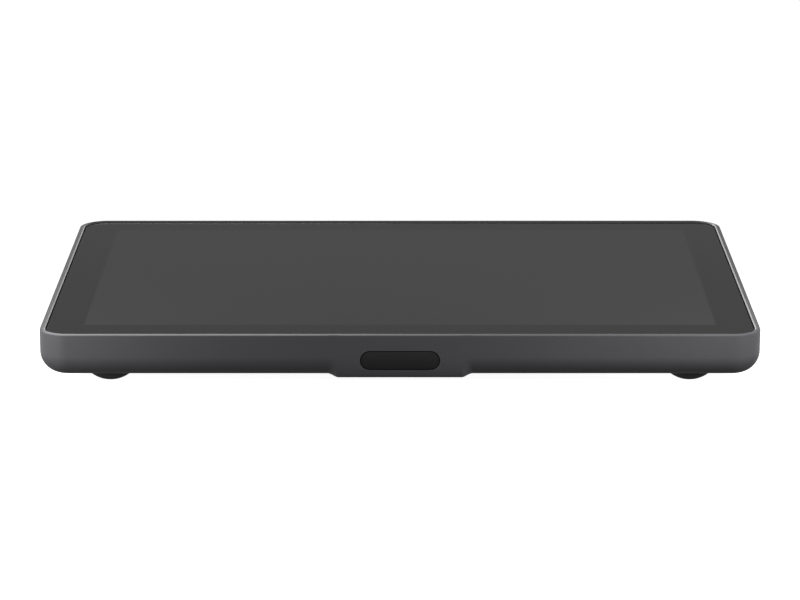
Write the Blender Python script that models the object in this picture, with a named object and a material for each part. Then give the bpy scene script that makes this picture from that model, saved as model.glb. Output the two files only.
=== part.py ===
"""Table-top touch controller: a thin display head tilted on a wedge base, with a cable bay behind a cover.

Metres, +Z up, front towards -Y. Pieces of the head are drawn flat in the head's own frame, where x runs
across, y along the screen from its front edge and z up from the underside, and an empty tilts them.
"""

import math

import bmesh
import bpy
from mathutils import Matrix, Vector

MM = 0.001

# Screen and head
TILT = math.radians(14)
ACTIVE_WIDTH = 216.96 * MM
ACTIVE_LENGTH = 135.6 * MM
SIDE_BORDER = 14.66 * MM
FRONT_BORDER = 15.1 * MM
REAR_BORDER = 14.1 * MM
HEAD_CLEARANCE = 0.8 * MM
CORNER_RADIUS = 10 * MM
BOTTOM_RADIUS = 7.5 * MM
WALL = 1.8 * MM
RIM_SLOPE_WIDTH = 1.3 * MM
RIM_RISE = 0.35 * MM
RIM_CHAMFER_WIDTH = 0.55 * MM
GLASS_RECESS = 0.66 * MM
LEDGE_WIDTH = 2.6 * MM
LEDGE_THICKNESS = 0.7 * MM
LEDGE_SLOPE = 1.2 * MM

# Chin and sensor window in the front wall
CHIN_WIDTH = 41.8 * MM
CHIN_BLEND = 4.0 * MM
CHIN_RADIUS = 1.6 * MM
WINDOW_WIDTH = 27.2 * MM
WINDOW_HEIGHT = 6.6 * MM
WINDOW_DROP = 8.55 * MM
WINDOW_RECESS = 0.25 * MM
LIGHT_SENSOR_X = 45.5 * MM
LIGHT_SENSOR_FROM_REAR = 8.1 * MM
LIGHT_SENSOR_RADIUS = 1.6 * MM

# Layers of the head
GAP = 0.3 * MM
GLASS = 1.1 * MM
BOND = 0.3 * MM
TOUCH_SHEET = 0.5 * MM
PANEL = 1.6 * MM
BACKLIGHT = 1.9 * MM
SHEET_METAL = 0.6 * MM
CHASSIS = 1.0 * MM
THERMAL_PAD = 0.4 * MM
BOARD = 1.0 * MM
CAN = 1.3 * MM
PANEL_SIDE_MARGIN = 5.2 * MM
PANEL_FRONT_MARGIN = 8.5 * MM
PANEL_REAR_MARGIN = 3.3 * MM
BOARD_WIDTH = 150 * MM
BOARD_LENGTH = 60 * MM
BOARD_RISE = 0.89 * MM
FLAT_CABLE = 0.25 * MM

# Feet
FOOT_SIDE_INSET = 23.65 * MM
FOOT_FROM_FRONT = 15 * MM
FOOT_DOME_RADIUS = 11 * MM
FOOT_SEAT = 0.8 * MM

# Wedge base
BASE_SIDE_INSET = 37 * MM
BASE_REAR_INSET = 2.7 * MM
BASE_DEPTH = 80 * MM
BASE_CORNER = 12 * MM
BASE_WALL = 2.4 * MM
PAD = 1.2 * MM
PAD_INSET = 1.5 * MM
FLOOR_INSET = 0.4 * MM
FLOOR_PLATE = 2.0 * MM
BAY_WIDTH = 90 * MM
PORT_HEADROOM = 3.3 * MM
PORT_BOARD_WIDTH = 78 * MM
PORT_BOARD_CLEARANCE = 1.3 * MM
PORT_BOARD_RISE = 1.2 * MM
PORT_FLEX_TAIL = 7.5 * MM
PORT_FLEX_CLEARANCE = 0.7 * MM
JACK_SIZE = (16 * MM, 21.3 * MM, 12 * MM)
JACK_MOUTH = (11.9 * MM, 13 * MM, 7.9 * MM)
USB_SIZE = (9.0 * MM, 9.5 * MM, 3.3 * MM)
USB_MOUTH = (8.3 * MM, 6.5 * MM, 2.5 * MM)
COVER_FIT = 0.4 * MM
COVER_NOTCH_WIDTH = 44 * MM
COVER_NOTCH_HEIGHT = 9 * MM

# Reset button and its switch
BUTTON_RADIUS = 2.0 * MM
BUTTON_PROUD = 1.5 * MM
BUTTON_TRAVEL = 0.8 * MM
SWITCH_SIZE = (8 * MM, 6 * MM, 7 * MM)

# Screws
SCREW_RADIUS = 1.0 * MM
SCREW_HOLE = 0.2 * MM
SCREW_HEAD_RADIUS = 1.8 * MM
SCREW_HEAD = 0.9 * MM
BOSS_RADIUS = 2.6 * MM

ROUND_STEPS = 16
CORNER_STEPS = 6
FILLET_STEPS = 6

# Worked out from the sizes above
HEAD_WIDTH = ACTIVE_WIDTH + 2 * SIDE_BORDER
HEAD_LENGTH = FRONT_BORDER + ACTIVE_LENGTH + REAR_BORDER
BOARD_BOTTOM = WALL + BOARD_RISE + GAP
BOARD_TOP = BOARD_BOTTOM + BOARD
CAN_BOTTOM = BOARD_TOP + GAP
THERMAL_PAD_BOTTOM = CAN_BOTTOM + CAN + GAP
CHASSIS_BOTTOM = THERMAL_PAD_BOTTOM + THERMAL_PAD + GAP
CHASSIS_TOP = CHASSIS_BOTTOM + CHASSIS
TRAY_BOTTOM = CHASSIS_TOP + GAP
TRAY_TOP = TRAY_BOTTOM + SHEET_METAL
BACKLIGHT_TOP = TRAY_TOP + GAP + BACKLIGHT
PANEL_TOP = BACKLIGHT_TOP + GAP + PANEL
TOUCH_TOP = PANEL_TOP + GAP + TOUCH_SHEET
GLASS_BOTTOM = TOUCH_TOP + GAP
GLASS_TOP = GLASS_BOTTOM + GLASS
BOND_BOTTOM = GLASS_BOTTOM - GAP - BOND
LEDGE_TOP = BOND_BOTTOM - GAP
LEDGE_BOTTOM = LEDGE_TOP - LEDGE_THICKNESS
CREST_HEIGHT = GLASS_TOP + GLASS_RECESS
HEAD_THICKNESS = CREST_HEIGHT - RIM_RISE
RIM_WIDTH = RIM_SLOPE_WIDTH + RIM_CHAMFER_WIDTH
PANEL_X = ACTIVE_WIDTH / 2 + PANEL_SIDE_MARGIN
PANEL_FRONT = FRONT_BORDER - PANEL_FRONT_MARGIN
PANEL_REAR = FRONT_BORDER + ACTIVE_LENGTH + PANEL_REAR_MARGIN
UNDERSIDE_END = HEAD_LENGTH - BOTTOM_RADIUS
HEAD_FRONT_Y = -HEAD_THICKNESS * math.sin(TILT)
HEAD_REAR_Y = UNDERSIDE_END * math.cos(TILT) + BOTTOM_RADIUS * (1 - math.sin(TILT))
CENTRE_Y = (HEAD_FRONT_Y + HEAD_REAR_Y) / 2

BASE_HALF_WIDTH = HEAD_WIDTH / 2 - BASE_SIDE_INSET
BASE_REAR = UNDERSIDE_END * math.cos(TILT) - BASE_REAR_INSET
BASE_FRONT = BASE_REAR - BASE_DEPTH
PLATE_BOTTOM = PAD + GAP
PLATE_TOP = PLATE_BOTTOM + FLOOR_PLATE
SHELL_BOTTOM = PLATE_TOP + GAP
BAY_FLOOR = SHELL_BOTTOM + BASE_WALL
PORT_BOARD_BOTTOM = PLATE_TOP + PORT_BOARD_RISE + GAP
PORT_BOARD_TOP = PORT_BOARD_BOTTOM + BOARD
JACK_BOTTOM = PORT_BOARD_TOP + GAP
JACK_TOP = JACK_BOTTOM + JACK_SIZE[2]
HIGH_ENOUGH_Y = (JACK_TOP + BASE_WALL + PORT_HEADROOM - HEAD_CLEARANCE) / math.tan(TILT)
LONG_ENOUGH_Y = BASE_FRONT + BASE_WALL + 2 * PORT_BOARD_CLEARANCE
PORT_WALL_Y = max(HIGH_ENOUGH_Y, LONG_ENOUGH_Y) + JACK_SIZE[1]
SIDE_BAY_X = (BAY_WIDTH / 2 + BASE_HALF_WIDTH) / 2


# Drawing helpers

def material(name, colour, roughness, metallic=0.0):
    made = bpy.data.materials.get(name)
    if made is None:
        made = bpy.data.materials.new(name)
        made.use_nodes = True
        shader = made.node_tree.nodes["Principled BSDF"]
        shader.inputs["Base Color"].default_value = (*colour, 1)
        shader.inputs["Roughness"].default_value = roughness
        shader.inputs["Metallic"].default_value = metallic
    return made


GRAPHITE = material("graphite_plastic", (0.07, 0.07, 0.075), 0.5)
BLACK_GLASS = material("black_glass", (0.012, 0.012, 0.013), 0.08)
RUBBER = material("rubber", (0.03, 0.03, 0.03), 0.8)
STEEL = material("steel", (0.6, 0.6, 0.6), 0.35, 1.0)
MAGNESIUM = material("magnesium", (0.45, 0.45, 0.44), 0.55, 1.0)
BLACK_PLASTIC = material("black_plastic", (0.02, 0.02, 0.02), 0.55)
FILM = material("film", (0.75, 0.76, 0.78), 0.3)
BOARD_GREEN = material("board_green", (0.015, 0.09, 0.04), 0.45)
FLEX_AMBER = material("flex_amber", (0.45, 0.2, 0.04), 0.4)
PAD_BLUE = material("pad_blue", (0.3, 0.42, 0.5), 0.8)


def finish(name, bm, look, parent=None, smooth=True):
    bmesh.ops.recalc_face_normals(bm, faces=bm.faces)
    mesh = bpy.data.meshes.new(name)
    bm.to_mesh(mesh)
    bm.free()
    if smooth:
        mesh.shade_smooth()
        mesh.set_sharp_from_angle(angle=math.radians(35))
    mesh.materials.append(look)
    made = bpy.data.objects.new(name, mesh)
    bpy.context.scene.collection.objects.link(made)
    made.parent = parent
    return made


def modify(target, tool, operation):
    tool.hide_render = True
    tool.display_type = "WIRE"
    boolean = target.modifiers.new(tool.name, "BOOLEAN")
    boolean.operation = operation
    boolean.solver = "EXACT"
    boolean.object = tool


def cut(target, tool):
    modify(target, tool, "DIFFERENCE")


def join(target, tool):
    modify(target, tool, "UNION")


def rounded_outline(x0, x1, y0, y1, radius, steps=CORNER_STEPS):
    """Corner arcs of a rectangle in plan, counter-clockwise from the front right corner.

    No corner is rounder than half the shorter side."""
    radius = min(radius, min(x1 - x0, y1 - y0) / 2 - 0.01 * MM)
    corners = ((x1 - radius, y0 + radius, -90), (x1 - radius, y1 - radius, 0),
               (x0 + radius, y1 - radius, 90), (x0 + radius, y0 + radius, 180))
    points = []
    for centre_x, centre_y, start in corners:
        for i in range(steps + 1):
            angle = math.radians(start + 90 * i / steps)
            points.append((centre_x + radius * math.cos(angle), centre_y + radius * math.sin(angle)))
    return points


def circle(x, y, radius, steps=ROUND_STEPS):
    turns = [2 * math.pi * i / steps for i in range(steps)]
    return [(x + radius * math.cos(t), y + radius * math.sin(t)) for t in turns]


def pill(x, y, width, height, steps=8):
    """A bar with fully round ends, in plan."""
    return rounded_outline(x - width / 2, x + width / 2, y - height / 2, y + height / 2, height / 2, steps)


def loft(bm, rings):
    """One closed skin through rings of equal length, capped at both ends."""
    made = [[bm.verts.new(point) for point in ring] for ring in rings]
    for low, high in zip(made, made[1:]):
        for i in range(len(low)):
            j = (i + 1) % len(low)
            bm.faces.new((low[i], low[j], high[j], high[i]))
    bm.faces.new(list(reversed(made[0])))
    bm.faces.new(made[-1])


def extrude(bm, outline, bottom, top):
    """bottom and top are heights, or functions of (x, y) for a sloping end."""
    def height(end, x, y):
        return end(x, y) if callable(end) else end
    loft(bm, [[(x, y, height(end, x, y)) for x, y in outline] for end in (bottom, top)])


def frame(bm, outer, inner, bottom, top):
    """A flat ring between two outlines of equal length."""
    rings = [[bm.verts.new((x, y, z)) for x, y in outline]
             for outline, z in ((outer, bottom), (outer, top), (inner, top), (inner, bottom))]
    for k in range(4):
        low, high = rings[k], rings[(k + 1) % 4]
        for i in range(len(low)):
            j = (i + 1) % len(low)
            bm.faces.new((low[i], low[j], high[j], high[i]))


def block(bm, low, high):
    outline = ((low[0], low[1]), (high[0], low[1]), (high[0], high[1]), (low[0], high[1]))
    extrude(bm, outline, low[2], high[2])


def turned(bm, profile, place, steps=ROUND_STEPS):
    """Turns a (radius, height) profile about an axis that place puts where it belongs."""
    rings = [circle(0, 0, radius, steps) for radius, height in profile]
    loft(bm, [[place @ Vector((x, y, height)) for x, y in ring]
              for ring, (radius, height) in zip(rings, profile)])


def at(x, y, z=0.0, turn=None):
    """A place for a turned shape, with its axis along +Z or turned by a rotation matrix."""
    moved = Matrix.Translation((x, y, z))
    return moved @ turn if turn else moved


ALONG_Y = Matrix.Rotation(math.radians(-90), 4, "X")


def plate(name, outline, bottom, top, look, parent=None):
    bm = bmesh.new()
    extrude(bm, outline, bottom, top)
    return finish(name, bm, look, parent)


def box(name, low, high, look, parent=None, bevel=0.0):
    bm = bmesh.new()
    block(bm, low, high)
    made = finish(name, bm, look, parent)
    if bevel:
        edge = made.modifiers.new("edges", "BEVEL")
        edge.width = bevel
        edge.segments = 2
    return made


def tool_of(name, shapes, parent=None):
    """Several closed shapes in one tool for a Boolean; each shape is a function that draws into a bmesh."""
    bm = bmesh.new()
    for shape in shapes:
        shape(bm)
    return finish(name, bm, STEEL, parent, smooth=False)


def rod(x, y, low, high, radius, steps=ROUND_STEPS):
    """An upright cylinder, as a shape for a tool."""
    return lambda bm: extrude(bm, circle(x, y, radius, steps), low, high)


def ribbon(name, path, x0, x1, thickness, look, parent=None, radius=1.2 * MM, steps=4):
    """A flat cable: a path in the YZ plane with rounded bends, given a thickness and a width."""
    points = [Vector((0, *path[0]))]
    for before, corner, after in zip(path, path[1:], path[2:]):
        start, bend, end = (Vector((0, *p)) for p in (before, corner, after))
        arrive, leave = (start - bend).normalized(), (end - bend).normalized()
        half = arrive.angle(leave) / 2
        reach = radius / math.tan(half)
        centre = bend + (arrive + leave).normalized() * radius / math.sin(half)
        first = (bend + arrive * reach - centre).normalized()
        last = (bend + leave * reach - centre).normalized()
        points += [centre + first.slerp(last, i / steps) * radius for i in range(steps + 1)]
    points.append(Vector((0, *path[-1])))
    sides = []
    for i, point in enumerate(points):
        along = (points[min(i + 1, len(points) - 1)] - points[max(i - 1, 0)]).normalized()
        sides.append(Vector((0, -along.z, along.y)) * thickness / 2)
    bm = bmesh.new()
    loft(bm, [[Vector((x, 0, 0)) + p + side * s for x, s in ((x0, -1), (x1, -1), (x1, 1), (x0, 1))]
              for p, side in zip(points, sides)])
    return finish(name, bm, look, parent)


def screw(name, place, length, parent=None, look=STEEL):
    """A pan-head screw with a round driver socket: its shank goes down from the seat at z = 0."""
    socket, depth = SCREW_HEAD_RADIUS * 0.45, SCREW_HEAD * 0.6
    edge = 0.25 * MM
    profile = [(0.3 * MM, -length), (SCREW_RADIUS, 0.6 * MM - length), (SCREW_RADIUS, 0),
               (SCREW_HEAD_RADIUS, 0), (SCREW_HEAD_RADIUS, SCREW_HEAD - edge),
               (SCREW_HEAD_RADIUS - edge, SCREW_HEAD), (socket, SCREW_HEAD),
               (socket * 0.8, SCREW_HEAD - depth)]
    bm = bmesh.new()
    turned(bm, profile, place, steps=10)
    return finish(name, bm, look, parent)


# Head

def head_outline():
    """Points of the head in plan as (x, y, outward normal), with extra points where the chin blends."""
    points = []
    half = HEAD_WIDTH / 2
    rear = HEAD_LENGTH - CORNER_RADIUS
    corners = ((half - CORNER_RADIUS, CORNER_RADIUS, -90), (half - CORNER_RADIUS, rear, 0),
               (CORNER_RADIUS - half, rear, 90), (CORNER_RADIUS - half, CORNER_RADIUS, 180))
    for x, y, start in corners:
        for i in range(CORNER_STEPS + 1):
            angle = math.radians(start + 90 * i / CORNER_STEPS)
            out = (math.cos(angle), math.sin(angle))
            points.append((x + CORNER_RADIUS * out[0], y + CORNER_RADIUS * out[1], out))
    blend_steps = 6
    edge = [CHIN_WIDTH / 2 + CHIN_BLEND * i / blend_steps for i in range(blend_steps, -1, -1)]
    for x in [-e for e in edge] + list(reversed(edge)):
        points.append((x, 0.0, (0.0, -1.0)))
    return points


def bottom_radius(x, y):
    """Radius of the edge under the walls, which tightens across the chin."""
    if y > 0:
        return BOTTOM_RADIUS
    share = min(1.0, max(0.0, (abs(x) - CHIN_WIDTH / 2) / CHIN_BLEND))
    smooth = share * share * (3 - 2 * share)
    return CHIN_RADIUS + (BOTTOM_RADIUS - CHIN_RADIUS) * smooth


def head_ring(inset, height):
    """One ring of the housing; inset and height are values, or functions of the local bottom radius."""
    ring = []
    for x, y, out in head_outline():
        radius = bottom_radius(x, y)
        inwards = inset(radius) if callable(inset) else inset
        z = height(radius) if callable(height) else height
        ring.append((x - out[0] * inwards, y - out[1] * inwards, z))
    return ring


def fillet_rings(offset):
    """Rings of the rounded lower edge, from the wall down, offset inwards by the wall."""
    def ring(angle):
        def radius_of(radius):
            return max(radius - offset, 0.4 * MM)
        return head_ring(lambda r: offset + radius_of(r) * (1 - math.cos(angle)),
                         lambda r: offset + radius_of(r) * (1 - math.sin(angle)))
    return [ring(math.pi / 2 * i / FILLET_STEPS) for i in range(FILLET_STEPS + 1)]


CHASSIS_SCREW_X = PANEL_X + SHEET_METAL + 2 * GAP + SCREW_HEAD_RADIUS
CHASSIS_BOSS_RADIUS = 2.3 * MM
CHASSIS_SCREW_INSET = 30 * MM
CHASSIS_SCREWS = [(side * CHASSIS_SCREW_X, y)
                  for y in (CHASSIS_SCREW_INSET, HEAD_LENGTH - CHASSIS_SCREW_INSET) for side in (-1, 1)]
SLOT_Y = (PORT_WALL_Y - USB_SIZE[1] - PORT_FLEX_CLEARANCE - PORT_FLEX_TAIL) / math.cos(TILT)
SLOT_WIDTH = 30 * MM
SLOT_LENGTH = 9 * MM
SLOT_FROM_BOARD_EDGE = 15 * MM
BOARD_CENTRE_Y = SLOT_Y + BOARD_LENGTH / 2 - SLOT_FROM_BOARD_EDGE
BOARD_SCREWS = [(sx * (BOARD_WIDTH / 2 - 3.5 * MM), BOARD_CENTRE_Y + sy * (BOARD_LENGTH / 2 - 4 * MM))
                for sy in (-1, 1) for sx in (-1, 1)]
BASE_SCREWS = [(side * SIDE_BAY_X, y / math.cos(TILT)) for y in (BASE_FRONT + 14 * MM, BASE_REAR - 20 * MM)
               for side in (-1, 1)]
HOLE_RADIUS = SCREW_RADIUS + SCREW_HOLE
THROUGH = 1 * MM
FEET = [(side * (HEAD_WIDTH / 2 - FOOT_SIDE_INSET), FOOT_FROM_FRONT) for side in (-1, 1)]
FOOT_CENTRE_Z = (FOOT_DOME_RADIUS - HEAD_CLEARANCE - FOOT_FROM_FRONT * math.sin(TILT)) / math.cos(TILT)
FOOT_RADIUS = math.sqrt(FOOT_DOME_RADIUS ** 2 - FOOT_CENTRE_Z ** 2)
WINDOW_Z = HEAD_THICKNESS - WINDOW_DROP


def housing_shell(head):
    """The tray with its rim, glass ledge, rounded lower edge and chin."""
    bm = bmesh.new()
    outside = fillet_rings(0.0)
    inside = fillet_rings(WALL)
    ledge_in = RIM_WIDTH + LEDGE_WIDTH
    rings = list(reversed(outside))
    rings += [head_ring(0.0, HEAD_THICKNESS), head_ring(RIM_SLOPE_WIDTH, CREST_HEIGHT),
              head_ring(RIM_WIDTH, GLASS_TOP), head_ring(RIM_WIDTH, LEDGE_TOP),
              head_ring(ledge_in, LEDGE_TOP), head_ring(ledge_in, LEDGE_BOTTOM),
              head_ring(WALL, LEDGE_BOTTOM - LEDGE_SLOPE)]
    rings += inside
    loft(bm, rings)
    shell = finish("housing_shell", bm, GRAPHITE, head)

    boss_bottom = WALL - 0.5 * MM
    board_boss_top, chassis_boss_top = BOARD_BOTTOM - GAP, CHASSIS_BOTTOM - GAP
    for kind, screws, top, radius in (("board", BOARD_SCREWS, board_boss_top, BOSS_RADIUS),
                                      ("base", BASE_SCREWS, board_boss_top + 2 * MM, BOSS_RADIUS),
                                      ("chassis", CHASSIS_SCREWS, chassis_boss_top, CHASSIS_BOSS_RADIUS)):
        join(shell, tool_of(f"{kind}_bosses", [rod(x, y, boss_bottom, top, radius) for x, y in screws], head))

    def window_hole(bm):
        outline = pill(0, WINDOW_Z, WINDOW_WIDTH, WINDOW_HEIGHT)
        loft(bm, [[(x, y, z) for x, z in outline] for y in (2 * WALL, -THROUGH)])

    board_hole_bottom, chassis_hole_bottom = 0.6 * MM, 1.4 * MM
    cut(shell, tool_of("housing_cuts", [
        window_hole,
        *[rod(x, y, board_hole_bottom, board_boss_top + THROUGH, HOLE_RADIUS) for x, y in BOARD_SCREWS],
        *[rod(x, y, -THROUGH, board_boss_top + THROUGH, HOLE_RADIUS) for x, y in BASE_SCREWS],
        *[rod(x, y, chassis_hole_bottom, chassis_boss_top + THROUGH, HOLE_RADIUS) for x, y in CHASSIS_SCREWS],
        *[rod(x, y, -THROUGH, FOOT_SEAT, FOOT_RADIUS + GAP, 24) for x, y in FEET],
        lambda bm: block(bm, (-SLOT_WIDTH / 2, SLOT_Y - SLOT_LENGTH / 2, -THROUGH),
                         (SLOT_WIDTH / 2, SLOT_Y + SLOT_LENGTH / 2, WALL + THROUGH))], head))


def inset_outline(inset, steps=CORNER_STEPS):
    half = HEAD_WIDTH / 2 - inset
    return rounded_outline(-half, half, inset, HEAD_LENGTH - inset, CORNER_RADIUS - inset, steps)


def cover_glass(head):
    inset, edge = RIM_WIDTH + GAP, 0.25 * MM
    bm = bmesh.new()
    rings = [(inset, GLASS_BOTTOM), (inset, GLASS_TOP - edge), (inset + edge, GLASS_TOP)]
    loft(bm, [[(x, y, z) for x, y in inset_outline(inwards)] for inwards, z in rings])
    finish("cover_glass", bm, BLACK_GLASS, head)


def glass_adhesive(head):
    bm = bmesh.new()
    frame(bm, inset_outline(RIM_WIDTH + GAP), inset_outline(RIM_WIDTH + LEDGE_WIDTH - GAP),
          BOND_BOTTOM, BOND_BOTTOM + BOND)
    finish("glass_adhesive", bm, BLACK_PLASTIC, head)


FLEX_SLOT = (30 * MM, PANEL_FRONT + 15 * MM, 28 * MM, 2.4 * MM)
TOUCH_FLEX_X = -34 * MM
TOUCH_FLEX_WIDTH = 12 * MM
TOUCH_DROP_Y = PANEL_REAR + SHEET_METAL + 2 * GAP + 0.6 * MM
SENSOR_BOARD_Y = WALL + 2.4 * MM
SENSOR_BOARD_WIDTH = 32 * MM


def panel_outline(grow, radius=1.0 * MM):
    return rounded_outline(-PANEL_X - grow, PANEL_X + grow, PANEL_FRONT - grow, PANEL_REAR + grow, radius, 2)


def slot_through(slot, bottom, top):
    """A rectangle given by its centre, width and length, as a shape that cuts from bottom to top."""
    x, y, width, length = slot
    return lambda bm: block(bm, (x - width / 2, y - length / 2, bottom - THROUGH),
                            (x + width / 2, y + length / 2, top + THROUGH))


def display_stack(head):
    """Touch sheet, panel and backlight, each on the one below, in the panel's sheet-metal tray."""
    plate("touch_sensor", panel_outline(-0.5 * MM), TOUCH_TOP - TOUCH_SHEET, TOUCH_TOP, FILM, head)
    plate("lcd_panel", panel_outline(0), PANEL_TOP - PANEL, PANEL_TOP, BLACK_GLASS, head)
    plate("backlight", panel_outline(-0.2 * MM), BACKLIGHT_TOP - BACKLIGHT, BACKLIGHT_TOP, FILM, head)
    inside, outside = GAP, GAP + SHEET_METAL
    wall_top = PANEL_TOP - 0.4 * MM
    bm = bmesh.new()
    rings = [(outside, TRAY_BOTTOM), (outside, wall_top), (inside, wall_top), (inside, TRAY_TOP)]
    loft(bm, [[(x, y, z) for x, y in panel_outline(grow)] for grow, z in rings])
    tray = finish("panel_tray", bm, STEEL, head)
    cut(tray, tool_of("tray_slot", [slot_through(FLEX_SLOT, TRAY_BOTTOM, TRAY_TOP)], head))


def chassis_plate(head):
    """Cast plate that carries the panel, notched for the sensor board and the touch cable."""
    inset = 2 * WALL
    made = plate("chassis_plate", inset_outline(inset, 4), CHASSIS_BOTTOM, CHASSIS_TOP, MAGNESIUM, head)
    rear = HEAD_LENGTH - inset
    x, y, width, length = FLEX_SLOT
    slots = ((x, y, width + 2 * MM, length + 1 * MM),
             (0, inset, SENSOR_BOARD_WIDTH + 4 * MM, 2 * (SENSOR_BOARD_Y + 3 * MM - inset)),
             (TOUCH_FLEX_X, rear, TOUCH_FLEX_WIDTH + 2 * MM, 2 * (rear - TOUCH_DROP_Y + 1.5 * MM)))
    shapes = [slot_through(slot, CHASSIS_BOTTOM, CHASSIS_TOP) for slot in slots]
    shapes += [rod(x, y, CHASSIS_BOTTOM - THROUGH, CHASSIS_TOP + THROUGH, HOLE_RADIUS)
               for x, y in CHASSIS_SCREWS]
    cut(made, tool_of("chassis_cuts", shapes, head))


def main_board(head):
    outline = rounded_outline(-BOARD_WIDTH / 2, BOARD_WIDTH / 2, BOARD_CENTRE_Y - BOARD_LENGTH / 2,
                              BOARD_CENTRE_Y + BOARD_LENGTH / 2, 2 * MM, 3)
    board = plate("main_board", outline, BOARD_BOTTOM, BOARD_TOP, BOARD_GREEN, head)
    boss_room = BOSS_RADIUS + 1 * MM
    low, high = BOARD_BOTTOM - THROUGH, BOARD_TOP + THROUGH
    cut(board, tool_of("board_holes", [*[rod(x, y, low, high, HOLE_RADIUS) for x, y in BOARD_SCREWS],
                                       *[rod(x, y, low, high, boss_room) for x, y in BASE_SCREWS]], head))


def board_parts(head):
    """Cans, connectors and the thermal pad on the main board."""
    y = BOARD_CENTRE_Y
    top = CAN_BOTTOM + CAN
    bevel = 0.3 * MM
    box("processor_shield", (-14 * MM, y - 2 * MM, CAN_BOTTOM), (20 * MM, y + 22 * MM, top),
        STEEL, head, bevel)
    box("radio_module", (-44 * MM, y - 8 * MM, CAN_BOTTOM), (-22 * MM, y + 20 * MM, top),
        STEEL, head, bevel)
    box("thermal_pad", (-8 * MM, y + 2 * MM, THERMAL_PAD_BOTTOM),
        (14 * MM, y + 18 * MM, THERMAL_PAD_BOTTOM + THERMAL_PAD), PAD_BLUE, head)
    x, slot_y, width, length = FLEX_SLOT
    front = y - BOARD_LENGTH / 2 + 4 * MM
    box("display_connector", (x - width / 2, front, CAN_BOTTOM), (x + width / 2, front + 4 * MM, top),
        BLACK_PLASTIC, head)
    flex_z = (CAN_BOTTOM + top) / 2
    tail_x = width / 2 - 1 * MM
    ribbon("display_flex", [(slot_y, TRAY_TOP), (slot_y, flex_z), (front - GAP, flex_z)],
           x - tail_x, x + tail_x, FLAT_CABLE, FLEX_AMBER, head)
    rear = y + BOARD_LENGTH / 2 - 4 * MM
    half = TOUCH_FLEX_WIDTH / 2
    box("touch_connector", (TOUCH_FLEX_X - half, rear - 3 * MM, CAN_BOTTOM), (TOUCH_FLEX_X + half, rear, top),
        BLACK_PLASTIC, head)
    ribbon("touch_flex",
           [(TOUCH_DROP_Y, TOUCH_TOP - TOUCH_SHEET), (TOUCH_DROP_Y, flex_z), (rear + GAP, flex_z)],
           TOUCH_FLEX_X - half + 1 * MM, TOUCH_FLEX_X + half - 1 * MM, FLAT_CABLE, FLEX_AMBER, head)


def antennas(head):
    for side, name in ((-1, "antenna_left"), (1, "antenna_right")):
        x = side * (PANEL_X + SHEET_METAL + 2 * GAP + 1.6 * MM)
        box(name, (x - 0.4 * MM, 58 * MM, CHASSIS_TOP + GAP), (x + 0.4 * MM, 92 * MM, LEDGE_BOTTOM - GAP),
            BOARD_GREEN, head)


def presence_sensing(head):
    """Window in the chin, with its gasket, sensor and board behind it."""
    def window(name, width, height, front, back, look):
        bm = bmesh.new()
        outline = pill(0, WINDOW_Z, width, height)
        loft(bm, [[(x, y, z) for x, z in outline] for y in (back, front)])
        return finish(name, bm, look, head)
    window("sensor_window", WINDOW_WIDTH - 2 * GAP, WINDOW_HEIGHT - 2 * GAP, WINDOW_RECESS, WALL, BLACK_GLASS)
    gasket_back = SENSOR_BOARD_Y - GAP
    gasket = window("sensor_gasket", WINDOW_WIDTH + 2 * MM, WINDOW_HEIGHT + 1.2 * MM,
                    WALL + GAP, gasket_back, RUBBER)
    def opening(bm):
        outline = pill(0, WINDOW_Z, WINDOW_WIDTH - 3 * MM, WINDOW_HEIGHT - 3 * MM)
        loft(bm, [[(x, y, z) for x, z in outline] for y in (gasket_back + 1 * MM, WALL - 1 * MM)])
    cut(gasket, tool_of("gasket_opening", [opening], head))
    sensor_half, sensor_depth = 4 * MM, 1.3 * MM
    box("presence_sensor", (-sensor_half, SENSOR_BOARD_Y - GAP - sensor_depth, WINDOW_Z - sensor_depth),
        (sensor_half, SENSOR_BOARD_Y - GAP, WINDOW_Z + sensor_depth), BLACK_PLASTIC, head)
    half_height = min(WINDOW_Z - WALL - GAP, LEDGE_BOTTOM - WINDOW_Z - GAP)
    board_back = SENSOR_BOARD_Y + 0.8 * MM
    box("sensor_board", (-SENSOR_BOARD_WIDTH / 2, SENSOR_BOARD_Y, WINDOW_Z - half_height),
        (SENSOR_BOARD_WIDTH / 2, board_back, WINDOW_Z + half_height - 1 * MM), BOARD_GREEN, head)
    off = GAP + 0.15 * MM
    board_front = BOARD_CENTRE_Y - BOARD_LENGTH / 2
    ribbon("sensor_flex",
           [(board_back + off, WINDOW_Z), (board_back + off, WALL + off), (board_front - 2 * MM, WALL + off)],
           -sensor_half, sensor_half, FLAT_CABLE, FLEX_AMBER, head)


def light_sensing(head):
    """Light guide under the glass in the rear border, on a small board that the chassis carries."""
    y = HEAD_LENGTH - LIGHT_SENSOR_FROM_REAR
    board_top = CHASSIS_TOP + GAP + 0.8 * MM
    half_width = 7 * MM
    front = PANEL_REAR + SHEET_METAL + 2 * GAP
    box("light_sensor_board", (LIGHT_SENSOR_X - half_width, front, CHASSIS_TOP + GAP),
        (LIGHT_SENSOR_X + half_width, HEAD_LENGTH - 2 * WALL - 1 * MM, board_top), BOARD_GREEN, head)
    radius = min(LIGHT_SENSOR_RADIUS, y - front)
    plate("light_guide", circle(LIGHT_SENSOR_X, y, radius, 12), board_top + GAP, GLASS_BOTTOM - GAP,
          FILM, head)


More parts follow.
